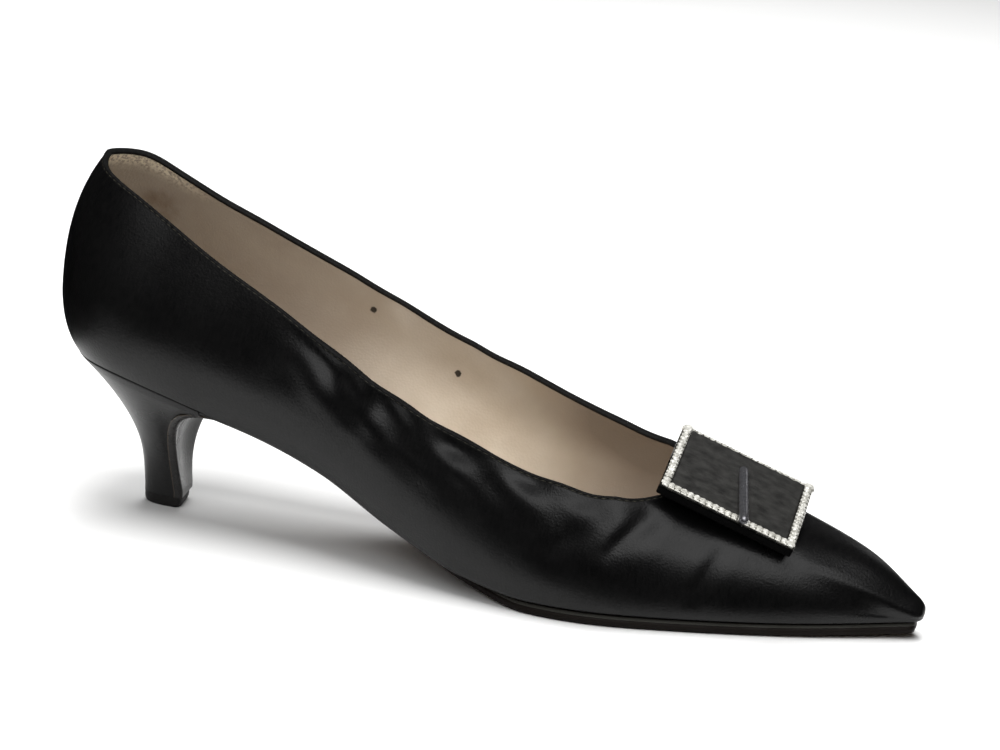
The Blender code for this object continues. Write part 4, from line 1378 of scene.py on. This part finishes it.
@dataclass
class Heel:
    """Covered heel with its leather breast and top piece. Sizes in millimetres."""

    breast_row: float = 4.2
    tip_back: float = 29.1
    tip_front: float = 41.0
    tip_half: float = 5.6
    tip_turn: float = 9.0
    tip_square: float = .8
    top_piece: float = 5.0
    hollow: float = 2.5
    lift_top: float = 3.2
    lift_gap: float = .02
    cover_gap: float = .05
    breast_gap: float = .1
    seat_gap: float = .06
    seat_out: float = .2
    arch_row: float = 4.75
    arch_skew: float = .25
    arch_share: float = .25
    arch_inset: float = 3.5
    arch_sag: float = 2.0
    arch_corner: float = .5
    wing_wall: float = .6
    wing_seam: float = .96
    tail_lift: float = .5
    wing_columns: int = 80
    wing_rows: tuple[float, ...] = (0, .25, .5, .75, .95, .98, 1.0)
    leather: float = .4
    flap_lap: float = 2.3
    flap_lift: float = .16
    flap_back: float = .05
    flap_columns: int = 41
    levels: int = 44
    side_ribs: int = 34
    front_ribs: int = 14
    ribs: tuple[HeelRib, ...] = (
        HeelRib(0, 14.5, 0, 10.5, 1.0, 0, 15), HeelRib(2, 10, 0, 11, .8, 1.0, 15),
        HeelRib(3, 6.5, 0, 9.5, .3, 1.5, 15), HeelRib(4.2, 5, 11, 3, 2.5, 1.8, 17))
    seam_rows: tuple[float, ...] = (0, 2.4, 3.0, 3.6, 4.2, 4.8)
    seam_heights: tuple[float, ...] = (3.0, 3.4, 3.2, 2.7, 1.8, 0.0)
    lap_profile: Pairs = ((0, -.8), (1, -.07), (.93, .1), (.7, .18), (.4, .2), (.15, .2))
    satin: SatinFinish = SatinFinish("heel_satin")
    breast: LeatherFinish = LeatherFinish("breast_leather")
    lift: LeatherFinish = LeatherFinish("top_piece_leather", smooth=.5, dull=.65, gloss=.2, glaze=0.0)

    def tip_middle(self) -> float:
        """Middle of the tip along the shoe."""
        return (self.tip_back + self.tip_front) / 2

    def round_back(self) -> Array:
        """Places round the back of the heel, from its inner front edge to its outer one."""
        rows = np.linspace(0, self.breast_row, self.side_ribs)
        return np.concatenate([rows[::-1], 2 * TIP - rows[1:]])

    def lap(self, place: Array) -> Array:
        """Edge of the cover that comes out of the upper's wall and laps over its foot.

        Args:
            place: places round the last's loop.

        Returns:
            Points of shape (places, rows, 3), the first one hidden in the wall, the others from the seam
            down: up the wall by a share of the seam's height, and out from it by a small distance.
        """
        line = LastLine(place)
        flare = np.radians(line.column("flare"))
        out = -line.facing * np.cos(flare) - UPRIGHT * np.sin(flare)
        seam = steady_curve(self.seam_rows, self.seam_heights, np.minimum(line.row, self.seam_rows[-1]))
        share, away = np.array(self.lap_profile).T
        climb = line.rise()[:, None] * (seam[:, None] * share[None])[:, :, None]
        return line.foot[:, None] + climb + out[:, None] * away[None, :, None]

    def curves(self, place: Array, share: Array) -> Array:
        """Cubic Bezier ribs from the seat (share 0) to the tip's D-shaped outline (share 1), turned a little.

        Args:
            place: places round the last's loop, behind the breast.
            share: shares of each rib.

        Returns:
            Points of shape (places, shares, 3).
        """
        line = LastLine(place)
        seat = line.foot - self.seat_out * line.facing - UPRIGHT * self.seat_gap
        sweep = line.row / self.breast_row * math.pi / 2
        turn = math.radians(self.tip_turn)
        ahead = (self.tip_front - self.tip_back) * (.5 - np.cos(sweep))
        aside = line.side * self.tip_half * np.sin(sweep) ** self.tip_square
        tip = np.column_stack([self.tip_middle() + ahead * math.cos(turn) - aside * math.sin(turn),
                               ahead * math.sin(turn) + aside * math.cos(turn),
                               np.full(len(sweep), self.top_piece)])
        rows, *handles = np.array(self.ribs).T
        seat_in, seat_back, seat_down, tip_back, tip_out, tip_up = (
            steady_curve(rows, handle, line.row)[:, None] for handle in handles)
        forward = np.array([1.0, 0, 0])
        sideways = line.side[:, None] * [0, 1.0, 0]
        high = seat + seat_in * line.facing - seat_back * forward - seat_down * UPRIGHT
        low = tip - tip_back * forward + tip_out * sideways + tip_up * UPRIGHT
        return bezier(seat, high, low, tip, share)

    def breast_face(self, share: Array, across: Array) -> Array:
        """Front face between both front edges, hollowed by the product of two half sine waves.

        Args:
            share: shares of the ribs.
            across: shares of the way from the inner to the outer edge.

        Returns:
            Points of shape (across, shares, 3).
        """
        edges = self.curves([self.breast_row, 2 * TIP - self.breast_row], share)
        t = np.asarray(across)[:, None]
        face = between(edges[0], edges[1], t[:, :, None])
        face[:, :, 0] -= self.hollow * np.sin(math.pi * np.asarray(share))[None] * np.sin(math.pi * t)
        return face

    def arch_end(self, side: Side) -> float:
        """Row at which the arch meets the sole, a little further back on the inner side."""
        return self.arch_row - (self.arch_skew if side is Side.INNER else 0)

    def sole_way(self) -> Array:
        """Way of the sole along the waist at the arch."""
        ends = LastLine([self.arch_row, self.arch_row + .1]).foot
        return unit((ends[1] - ends[0]) * [1, 0, 1])

    def arch(self, across: Array, steps: int = 22) -> Array:
        """Round arch from the sole's underside to the hollow face.

        It is a quadratic Bezier whose middle handle lies where the sole's line meets the face's tangent. The
        sole's end of it hangs lower between the edges, so that it covers the sole.

        Args:
            across: shares of the way from the inner to the outer edge.
            steps: points along the arch, the last one on the face.

        Returns:
            Points of shape (across, steps, 3).
        """
        face = self.breast_face(np.array([0, .02]) + self.arch_share, across)
        ends = LastLine([self.arch_end(Side.INNER), 2 * TIP - self.arch_end(Side.OUTER)])
        ends = ends.foot + self.arch_inset * ends.facing
        t = across[:, None]
        edge = np.abs(2 * t - 1)
        drop = self.arch_sag * (1 - edge ** 2) - self.arch_corner * edge ** 12
        start = between(ends[0], ends[1], t) - UPRIGHT * drop
        down = unit(face[:, 1] - face[:, 0])
        along = self.sole_way()
        level = np.array([-along[2], 0, along[0]])
        reach = (start - face[:, 0]) @ level / (-down @ level)
        handle = face[:, 0] - down * reach[:, None]
        s = np.linspace(0, 1, steps)[None, :, None]
        return (1 - s) ** 2 * start[:, None] + 2 * s * (1 - s) * handle[:, None] + s ** 2 * face[:, :1]

    def wing(self, side: Side, samples: int = 14) -> Skin:
        """Satin between the heel's front edge, the feather edge and the arch, ruled from border to border.

        Its tail sinks into the upper by the square of the way along.

        Args:
            side: side of the foot.
            samples: points along the front edge, and along the feather edge.

        Returns:
            A thin closed wall.
        """
        front = place_of(np.array([self.breast_row]), side)
        edge = self.curves(front, np.linspace(self.arch_share, 0, samples))[0]
        lap = self.lap(place_of(np.linspace(self.breast_row, self.arch_end(side), samples), side))
        sunk = np.linspace(0, 1, samples)[:, None] ** 2
        border = np.concatenate([edge, lap[:, 2] + sunk * (lap[:, 0] - lap[:, 2] + self.tail_lift * UPRIGHT)])
        arch = self.arch(np.array([0.0 if side is Side.INNER else 1.0]), self.wing_columns)[0, ::-1]
        even = np.linspace(0, 1, self.wing_columns)
        way, arch_way = way_along(border), way_along(arch)
        upper = read_along(even * way[-1], way, border)
        lower = read_along(even * arch_way[-1], arch_way, arch)
        t = np.array(self.wing_rows)
        on_seam = (even * way[-1] > way[len(edge)])[:, None] & (t > self.wing_seam)[None]
        skin = grid_skin(between(lower[:, None], upper[:, None], t[None, :, None]), seam=on_seam)
        outwards = np.sign(skin.normals()[:, 1].mean() * side.value)
        return skin.shell(0, -self.wing_wall * outwards)

    def build_cover(self, shop: Workshop) -> None:
        """Cover: the ribs round the back and the hollow front as one closed loop, and both wings.

        Args:
            shop: where the piece is made.
        """
        share = np.linspace(0, 1, self.levels)
        places = self.round_back()
        lap = self.lap(places)
        across = np.linspace(1, 0, self.front_ribs)[1:-1]
        brow = between(lap[:1], lap[-1:], across[:, None, None])
        sides = np.concatenate([lap, self.curves(places, share)], axis=1)
        front = np.concatenate([brow, self.breast_face(share, across)], axis=1)
        grid = np.concatenate([sides, front]).transpose(1, 0, 2)
        grid = np.concatenate([grid, grid[-1:] * [1, 1, 0] + UPRIGHT * (self.lift_top + self.cover_gap)])
        seam = np.zeros((len(grid) + 2, 1))
        seam[2:4] = 1
        cover = grid_skin(with_poles(grid), tube=True, seam=seam)
        skin = joined([part.outward() for part in (cover, self.wing(Side.INNER), self.wing(Side.OUTER))])
        shop.piece("heel_cover", skin, self.satin, "heel", sharp=50)

    def flap_edge(self, edge: Array, side: Side, share: Array, columns: int = 5) -> Array:
        """Columns of the flap past one of its edges, lapped back over the satin of the heel's side.

        Args:
            edge: points of the edge, along the arch and down the face.
            side: side of the foot.
            share: shares of the ribs at the points of the face.
            columns: columns to make.

        Returns:
            Points of shape (columns, edge points, 3), from the edge outwards.
        """
        front, behind = self.curves(place_of(np.array([self.breast_row, self.breast_row - .05]), side), share)
        back = unit(behind - front)
        arch = len(edge) - len(share)
        along = unit(np.gradient(edge, axis=0))
        across = np.cross(back[0], along[arch])
        way = np.concatenate([np.cross(along[:arch], across), back])
        width = self.flap_lap * np.interp(np.arange(len(edge)), [0, arch, len(edge)], [.02, 1, .85])
        reach = np.linspace(0, 1, columns + 1)[1:, None, None]
        return edge[None] + reach * (way * width[:, None])[None] - side.value * self.flap_lift * across

    def build_breast(self, shop: Workshop) -> None:
        """Breast: leather that leaves the sole in a round arch, runs down the face and laps its sides.

        Args:
            shop: where the piece is made.
        """
        across = np.linspace(1, 0, self.flap_columns)
        share = np.linspace(self.arch_share, 1, self.levels)
        face = np.concatenate([self.arch(across)[:, :-1], self.breast_face(share, across)], axis=1)
        outer = self.flap_edge(face[0], Side.OUTER, share)
        inner = self.flap_edge(face[-1], Side.INNER, share)
        points = np.concatenate([outer[::-1], face, inner])
        for _ in range(2):
            points[1:-1] = .5 * points[1:-1] + .25 * (points[:-2] + points[2:])
        foot = points[:, -1:] * [1, 1, 0] + UPRIGHT * (self.lift_top + self.breast_gap)
        edge = np.zeros((len(points), 1))
        edge[[0, -1]] = 1
        flap = grid_skin(np.concatenate([points, foot], axis=1), edge=edge)
        flap = flap.shell(self.leather, self.flap_back)
        shop.piece("breast_leather", flap, self.breast, "breast_cover", sharp=50)

    def build_top_piece(self, shop: Workshop) -> None:
        """Top piece: the tip's outline carried down, with worn edges drawn in towards its middle.

        The profile's columns are the height and the share of the outline.

        Args:
            shop: where the piece is made.
        """
        ring = self.curves(self.round_back(), [1.0])[:, 0]
        front = np.linspace(0, 1, 10)[1:-1, None]
        ring = np.concatenate([ring, between(ring[-1], ring[0], front)])
        for _ in range(4):
            ring = .5 * ring + .25 * (np.roll(ring, 1, axis=0) + np.roll(ring, -1, axis=0))
        top = self.lift_top - self.lift_gap
        profile = ((0, .84), (.12, .89), (.45, .935), (1.0, .97), (1.8, .99), (top - .1, .985), (top, .95))
        heights, shares = np.array(profile).T[:, :, None]
        flat = between(np.array([self.tip_middle(), 0]), ring[:, :2], shares[:, :, None])
        skin = grid_skin(with_poles(with_height(flat, heights)), tube=True)
        shop.piece("top_piece_lift", skin, self.lift, "top_piece", sharp=50)

    def build(self, shop: Workshop) -> None:
        """Build the cover, the breast and the top piece.

        Args:
            shop: where the pieces are made.
        """
        self.build_cover(shop)
        self.build_breast(shop)
        self.build_top_piece(shop)


@dataclass
class Buckle:
    """Paste-set buckle on its covered pad. Sizes in millimetres on its own axes, z 0 at the stones' girdles.

    The columns of stone_rings are the height, the reach and the turn in sides of a ring of facets. Those of
    pad_edge are the inset from the pad's edge and the drop of its top there.
    """

    length: float = 36.0
    width: float = 30.0
    centre: Triple = (200.8, -3.5, 35.7)
    angles: Triple = (12.0, 20.0, 8.5)
    corner: float = -.6
    bar_width: float = 2.8
    bar_top: float = -.3
    bar_bottom: float = -1.0
    stones_long: int = 20
    stones_short: int = 16
    stone_rings: tuple[Triple, ...] = (
        (-.5, .1, .5), (-.15, 1.0, .5), (.06, 1.0, .5), (.34, .76, 0), (.5, .46, .5))
    stone_size: Triple = (.88, 1.2, 1.0)
    corner_stone_size: Triple = (1.3, 1.3, 1.1)
    far_corner_stone_size: Triple = (1.75, 1.75, 1.9)
    stone_tilt: float = .08
    bead_radius: float = .26
    bead_inset: float = .42
    bead_rise: float = .22
    pad_depth: float = -3.1
    pad_inset: float = .1
    pad_rings: tuple[float, ...] = (-15.0, -11.0, -7.5, -4.5, -2.0, 0)
    pad_edge: Pairs = ((.5, 0), (.12, .08), (0, .3))
    pad_below: float = 12.0
    pad_near: float = 2.5
    pad_lift: float = .1
    pad_gap: float = .12
    pad_least: float = .55
    panel_far: float = 14.1
    panel_near: float = 13.5
    panel_lap: float = .35
    panel_base: float = .1
    panel_roll: float = .045
    panel_least: float = .2
    panel_slope: float = .4
    panel_crest: float = 1.6
    panel_dome: float = .3
    panel_fold: float = .1
    prong_rings: int = 9
    prong_sides: int = 20
    prong_radius: float = 1.3
    prong_tail: Triple = (-.3, 8.2, .45)
    prong_point: Triple = (4.3, -18.2, 1.65)
    silver: MetalFinish = MetalFinish("setting_silver", bright=(.46, .45, .41), tarnish=(.18, .17, .145))
    paste: PasteFinish = PasteFinish("paste_stones")
    prong: MetalFinish = MetalFinish("prong_metal", bright=(.3, .3, .32), tarnish=(.2, .2, .215), metallic=.9,
                                     smooth=.26, dull=.34, pitting=.000004)
    # Darker than the upper's satin: painted shade on the pad's shaded sides under the bars; duller by
    # roughness and gloss.
    pad_satin: SatinFinish = SatinFinish("pad_satin", dark=(.001, .001, .001), light=(.002, .002, .002),
                                         smooth=.7, dull=.8, gloss=.04)
    panel_satin: SatinFinish = SatinFinish("panel_satin", dark=(.01, .0098, .0094), light=(.027, .0265, .025),
                                           smooth=.55, dull=.7, gloss=.2, threads=(260.0, 420.0, 1.0),
                                           thread_depth=.00008)

    def matrix(self) -> Array:
        """Turn from the buckle's axes to the last's."""
        return np.array(Euler([math.radians(angle) for angle in self.angles]).to_matrix())

    def placed(self, skin: Skin) -> Skin:
        """A surface on the buckle's axes, moved to the vamp."""
        skin.points = skin.points @ self.matrix().T + np.array(self.centre)
        return skin

    def loop(self, grow: Array, per_corner: int = 7) -> Array:
        """Rounded rectangles round the stones' line, one per growth, with a quarter turn at each corner.

        Args:
            grow: distances outwards from the stones' line.
            per_corner: points round each corner.

        Returns:
            x and y of shape (growths, points, 2).
        """
        quarter = np.linspace(0, math.pi / 2, per_corner)
        turn = (quarter[None] + np.arange(4)[:, None] * math.pi / 2).reshape(-1)
        grow = np.asarray(grow)[:, None]
        radius = np.maximum(self.corner + grow, .15)
        side_x = np.repeat([1, -1, -1, 1], per_corner) * (self.length / 2 + grow - radius)
        side_y = np.repeat([1, 1, -1, -1], per_corner) * (self.width / 2 + grow - radius)
        return np.stack([side_x + radius * np.cos(turn), side_y + radius * np.sin(turn)], axis=2)

    def build_frame(self, shop: Workshop) -> None:
        """Setting: a channel section, one flank and its mirror image, carried round the rectangle.

        Args:
            shop: where the piece is made.
        """
        half, low, top = self.bar_width / 2, self.bar_bottom, self.bar_top
        flank = np.array([(.2 - half, low), (-half, low + .2), (.18 - half, top + .2), (.4 - half, top + .38),
                          (-.55, top - .2)])
        section = np.concatenate([flank, flank[::-1] * [-1, 1]])
        grid = with_height(self.loop(section[:, 0]), section[:, 1:])
        skin = grid_skin(grid.transpose(1, 0, 2)[::-1], closed=True, tube=True)
        shop.piece("buckle_setting", self.placed(skin), self.silver, "buckle_frame", sharp=45)

    def spots(self, shift: float = 0.0) -> Array:
        """Middles along the four bars, each bar's row turned by a quarter more than the one before.

        Args:
            shift: 0 for the stones, .5 for the spaces between them.

        Returns:
            x, y and the way along the bar, one row per spot.
        """
        long_bar = (self.stones_long, self.length, self.width)
        short_bar = (self.stones_short, self.width, self.length)
        rows = []
        for quarter, (count, length, apart) in zip((0, 1, 2, -1), (long_bar, short_bar, long_bar, short_bar)):
            turn = np.full(count, quarter * math.pi / 2)
            along = (np.arange(count) + shift) / count * length - length / 2
            x = along * np.cos(turn) + apart / 2 * np.sin(turn)
            y = along * np.sin(turn) - apart / 2 * np.cos(turn)
            rows.append(np.column_stack([x, y, turn]))
        return np.concatenate(rows)

    def build_stones(self, shop: Workshop) -> None:
        """Stones: eight-sided cushions in five rings, each tilted a little differently, larger at corners.

        Args:
            shop: where the piece is made.
        """
        height, reach, step = np.array(self.stone_rings).T[:, :, None]
        angle = (np.arange(8)[None] + step) * math.pi / 4
        grid = np.stack(np.broadcast_arrays(reach * np.cos(angle), reach * np.sin(angle), height), axis=2)
        stone = grid_skin(with_poles(grid), tube=True).welded()
        spots = self.spots()
        at_side = np.abs(spots[:, :2]) > [self.length / 2 - .1, self.width / 2 - .1]
        at_corner = at_side.all(axis=1)
        sizes = np.tile(self.stone_size, (len(spots), 1))
        sizes[at_corner] = self.corner_stone_size
        sizes[at_corner & (spots[:, 1] > 0)] = self.far_corner_stone_size
        tilts = np.random.default_rng(11).normal(0, self.stone_tilt, (len(spots), 2))
        frames = np.array([Matrix.Rotation(turn, 3, "Z") @ Euler((*tilt, 0)).to_matrix()
                           for turn, tilt in zip(spots[:, 2], tilts)])
        skin = repeated(stone, spots * [1, 1, 0], frames * sizes[:, None, :])
        shop.piece("paste_stones", self.placed(skin), self.paste, "buckle_frame", sharp=0)

    def build_beads(self, shop: Workshop) -> None:
        """Grains: small balls on both sides of the row, between each two stones.

        Args:
            shop: where the piece is made.
        """
        rise = np.linspace(-math.pi / 2, math.pi / 2, 6)[1:-1, None]
        turn = np.arange(6)[None] * math.pi / 3
        axes = np.broadcast_arrays(np.cos(rise) * np.cos(turn), np.cos(rise) * np.sin(turn), np.sin(rise))
        bead = grid_skin(with_poles(np.stack(axes, axis=2) * self.bead_radius), tube=True).welded()
        spots = self.spots(.5)
        reach = self.bar_width / 2 - self.bead_inset
        out = reach * np.column_stack([np.sin(spots[:, 2]), -np.cos(spots[:, 2])])
        flat = np.concatenate([spots[:, :2] - out, spots[:, :2] + out])
        middles = np.column_stack([flat, np.full(len(flat), self.bar_top + self.bead_rise)])
        skin = repeated(bead, middles, np.broadcast_to(np.eye(3), (len(middles), 3, 3)))
        shop.piece("setting_grains", self.placed(skin), self.silver, "buckle_frame", sharp=80)

    def build_panel(self, shop: Workshop, steps: int = 45) -> None:
        """Panel: ribbed cloth inside the bars, swelling towards the far bar and rolled under at its edges.

        The height is a low dome plus a steep rise near the far edge; the edge rows turn down to the pad. A
        flat floor and a wall round the edge close it.

        Args:
            shop: where the piece is made.
            steps: points along each side of the grid, closer together at its edges.
        """
        half_x = (self.length - self.bar_width) / 2 + self.panel_lap
        half_y = (self.panel_far + self.panel_near) / 2
        middle_y = (self.panel_far - self.panel_near) / 2
        even = np.sin(np.linspace(-1, 1, steps) * math.pi / 2)
        u, v = np.meshgrid(even, even, indexing="ij")
        far = (v + 1) / 2
        dome = (1 - u ** 4) * (1 - v ** 4)
        edge = np.minimum(1 - np.abs(u), 1 - np.abs(v))
        roll = np.sqrt(np.clip(1 - (1 - np.clip(edge / self.panel_roll, 0, 1)) ** 2, 0, 1))
        folds = self.panel_fold * np.sin(9 * u + 3 * v) * dome
        frayed = (.1 * np.sin(31 * u) + .08 * np.sin(53 * u + 1)) * far ** 12
        rise = self.panel_least + self.panel_slope * far + self.panel_crest * far ** 8
        swell = rise + self.panel_dome * dome + folds + frayed
        flat = np.stack([u * half_x, v * half_y + middle_y], axis=2)
        top = with_height(flat, self.bar_bottom + self.panel_base + roll * swell)
        floor = with_height(flat, self.bar_bottom - self.panel_base)
        rim, base = (np.concatenate([face[:, 0], face[-1, 1:], face[-2::-1, -1], face[0, -2:0:-1]])
                     for face in (top, floor))
        wall = grid_skin(np.stack([base, rim], axis=1)[::-1], closed=True)
        skin = joined([grid_skin(top[::-1]), grid_skin(floor), wall])
        shop.piece("buckle_panel", self.placed(skin), self.panel_satin, "buckle_pad", sharp=50)

    def build_pad(self, shop: Workshop, upper: Skin) -> None:
        """Pad: rounded rectangles from the bars' underside down to the vamp, or to a lowest depth past it.

        Args:
            shop: where the piece is made.
            upper: outer surface of the upper, which the pad's underside follows.
        """
        local = (upper.points - np.array(self.centre)) @ self.matrix()
        inset, drop = np.array(self.pad_edge).T
        grow = np.concatenate([self.pad_rings, self.bar_width / 2 - self.pad_inset - inset])
        rounding = np.concatenate([np.zeros(len(self.pad_rings)), drop])[:, None]
        flat = self.loop([0.0]) * (1 + grow / (self.width / 2))[:, None, None]
        flat[-4:] = self.loop(grow[-4:])
        gaps = np.linalg.norm(flat[:, :, None] - local[None, None, :, :2], axis=3)
        gaps = np.where(local[:, 2] < -self.pad_below, np.inf, gaps)
        seat = np.where(gaps.min(axis=2) < self.pad_near, local[gaps.argmin(axis=2), 2], self.pad_depth)
        low = np.clip(seat + self.pad_lift, self.pad_depth, self.bar_bottom - self.pad_least)
        low = with_height(flat, low)
        top = with_height(flat, self.bar_bottom - self.pad_gap - rounding)
        skin = grid_skin(with_poles(np.concatenate([low, top[::-1]]))[:, ::-1], tube=True)
        shop.piece("buckle_pad_cover", self.placed(skin), self.pad_satin, "buckle_pad", sharp=50)

    def build_prong(self, shop: Workshop) -> None:
        """Prong: a round rod with domed ends, its girth a circle along the axis.

        Args:
            shop: where the piece is made.
        """
        tail, point = np.array(self.prong_tail), np.array(self.prong_point)
        axis = unit(point - tail)
        side = unit(np.cross(axis, UPRIGHT))
        lift = np.cross(side, axis)
        dome = np.linspace(0, math.pi / 2, 6)[1:]
        reach = np.linalg.norm(point - tail)
        domed = self.prong_radius * (1 - np.sin(dome))
        along = np.concatenate([domed[::-1], np.linspace(.1, .9, self.prong_rings) * reach, reach - domed])
        taper = np.cos(dome - 1e-3)
        girth = self.prong_radius * np.concatenate([taper[::-1], np.ones(self.prong_rings), taper])
        turn = np.linspace(0, 2 * math.pi, self.prong_sides, endpoint=False)
        ring = np.cos(turn)[:, None] * side + np.sin(turn)[:, None] * lift
        rod = tail + along[:, None, None] * axis + girth[:, None, None] * ring[None]
        skin = self.placed(grid_skin(with_poles(rod), tube=True))
        shop.piece("prong_rod", skin, self.prong, "buckle_prong", sharp=60)

    def build(self, shop: Workshop, upper: Skin) -> None:
        """Build every piece of the buckle.

        Args:
            shop: where the pieces are made.
            upper: outer surface of the upper, under the pad.
        """
        self.build_pad(shop, upper)
        self.build_panel(shop)
        self.build_frame(shop)
        self.build_stones(shop)
        self.build_beads(shop)
        self.build_prong(shop)


def stand(thing: bpy.types.Object, spot: Array, right: Array, back: Array) -> None:
    """Set a lamp or the camera at a spot, its x along right and its z along back."""
    turn = np.column_stack([right, np.cross(back, right), back])
    thing.matrix_world = Matrix.Translation(list(spot)) @ Matrix(turn.tolist()).to_4x4()


@dataclass
class SoftLight:
    """One soft box: place and aim in metres, size in metres and power in watts."""

    name: str
    spot: Triple
    aim: Triple
    size: tuple[float, float]
    power: float
    mirrored: bool = True
    shading: bool = True

    def build(self) -> None:
        """Make the light and turn it to its aim."""
        light = bpy.data.lights.new(self.name, "AREA")
        light.shape = "RECTANGLE"
        light.size, light.size_y = self.size
        light.energy = self.power
        thing = shown(self.name, light)
        thing.visible_glossy = self.mirrored
        thing.visible_diffuse = self.shading
        back = unit(np.array(self.spot) - np.array(self.aim))
        stand(thing, self.spot, unit(np.cross([0.0, 1.0, 0.0], back)), back)


@dataclass
class Studio:
    """Camera at the photograph's angle, pale floor and soft light.

    The eye is in millimetres on the last's axes, and everything else is in metres.
    """

    eye: Triple = (341.7, -686.2, 273.1)
    azimuth: float = 17.016
    elevation: float = 17.0
    roll: float = 4.5
    lens: float = 100.0
    sky: float = .015
    floor_half: float = 6.0
    floor_colour: Colour = (.78, .78, .775)
    # Dark sheet round the pool, seen only in reflections: painted shade of dark surroundings mirrored in the
    # shoe.
    mirrored_shade_colour: Colour = (.002, .002, .002)
    mirrored_shade_height: float = .0004
    pool: Pairs = ((-.2, -.2), (.01, -.055), (.125, -.012), (.42, .4), (-.16, .4))
    lights: tuple[SoftLight, ...] = (
        SoftLight("key", (0, -.1, 1.2), (.03, 0, .03), (.8, .7), 20.0, mirrored=False),
        SoftLight("back_key", (-.12, .7, 1.1), (.03, 0, .03), (.7, .6), 14.0, mirrored=False),
        SoftLight("fill", (-.1, -1.0, 1.2), (.03, 0, .03), (1.6, 1.2), 12.0, mirrored=False),
        SoftLight("front_box", (.36, -.8, .71), (0, 0, .03), (1.4, .62), 7.8, shading=False),
        SoftLight("side_box", (.58, -.31, .93), (0, 0, .03), (.55, .5), 2.7, shading=False),
        SoftLight("rim_box", (.31, 1.0, .33), (.07, 0, .03), (.2, .2), .14, shading=False),
        SoftLight("sparkle", (.1, -.1, 1.1), (.1, 0, .03), (.1, .1), .6, shading=False),
        SoftLight("floor_light", (.2, 1.6, 1.5), (.1, 1.2, 0), (2.0, 1.0), 2.0, mirrored=False),
    )

    def build_camera(self, shop: Workshop) -> None:
        """Camera: looks back along azimuth and elevation, then rolls about its own axis.

        Args:
            shop: knows the move from the last's axes to the world.
        """
        a, e, r = (math.radians(angle) for angle in (self.azimuth, self.elevation, self.roll))
        back = np.array([math.sin(a) * math.cos(e), -math.cos(a) * math.cos(e), math.sin(e)])
        level = np.array([math.cos(a), math.sin(a), 0])
        data = bpy.data.cameras.new("camera")
        data.lens = self.lens
        data.clip_start, data.clip_end = .01, 50
        thing = shown("camera", data)
        right = level * math.cos(r) + np.cross(back, level) * math.sin(r)
        stand(thing, shop.world(np.array(self.eye)), right, back)
        bpy.context.scene.camera = thing

    def lay(self, name: str, points: Array, faces: Array, finish: Shader) -> bpy.types.Object:
        """Lay a flat sheet on the stage.

        Args:
            name: name of the sheet.
            points: its points.
            faces: its faces.
            finish: its material.

        Returns:
            The sheet.
        """
        mesh = bpy.data.meshes.new(name)
        mesh.from_pydata(points.tolist(), [], faces.tolist())
        mesh.materials.append(finish.material)
        sheet = shown(name, mesh)
        return sheet

    def build_floor(self) -> None:
        """Floor: one wide pale plane at the height that the shoe stands on."""
        corners = np.array([(-1, -1, 0), (1, -1, 0), (1, 1, 0), (-1, 1, 0)]) * self.floor_half
        constants = {"Base Color": (*self.floor_colour, 1), "Roughness": .7, "Specular IOR Level": .2}
        self.lay("floor", corners, np.arange(4)[None], Shader("floor", constants))

    def build_mirrored_shade_sheet(self) -> None:
        """Painted shade in reflections: a dark flat frame on the floor round the pool of light, which only
        mirrored light meets.
        """
        outer = np.array([(-1, -1), (0, -1), (1, -1), (1, 1), (-1, 1)]) * self.floor_half
        flat = np.stack([outer, self.pool])
        count = len(outer)
        corner = np.arange(count)
        ahead = (corner + 1) % count
        faces = np.column_stack([corner, ahead, ahead + count, corner + count])
        constants = {"Base Color": (*self.mirrored_shade_colour, 1), "Specular IOR Level": 0.0}
        points = with_height(flat, self.mirrored_shade_height).reshape(-1, 3)
        cloth = self.lay("mirrored_shade_sheet", points, faces, Shader("mirrored_shade_sheet", constants))
        cloth.visible_camera = False
        cloth.visible_diffuse = False
        cloth.visible_shadow = False

    def build(self, shop: Workshop) -> None:
        """Build camera, floor, lights and the dim sky.

        Args:
            shop: knows the move from the last's axes to the world.
        """
        scene = bpy.context.scene
        scene.view_settings.view_transform = "Standard"
        self.build_camera(shop)
        self.build_floor()
        self.build_mirrored_shade_sheet()
        for light in self.lights:
            light.build()
        world = bpy.data.worlds.new("studio")
        world.use_nodes = True
        sky = world.node_tree.nodes["Background"]
        sky.inputs["Color"].default_value = (1, 1, 1, 1)
        sky.inputs["Strength"].default_value = self.sky
        scene.world = world


def last_shift(heel: Heel) -> Array:
    """Move from the last's table to the frame of the solids, read from the box of the top piece.

    Args:
        heel: the heel, whose tip stands in the middle of that box.

    Returns:
        The move in millimetres.
    """
    low, high = (np.array(corner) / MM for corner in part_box("top_piece"))
    return ((low + high) / 2 - [heel.tip_middle(), 0, 0]) * [1, 1, 0]


def main() -> None:
    """Build every sub-assembly around the solids."""
    logging.basicConfig(level=logging.INFO, format="%(name)s: %(message)s")
    heel = Heel()
    shop = Workshop(last_shift(heel))
    Studio().build(shop)
    skin = Upper().build(shop)
    Sole().build(shop)
    heel.build(shop)
    Buckle().build(shop, skin)


if __name__ == "__main__":
    main()
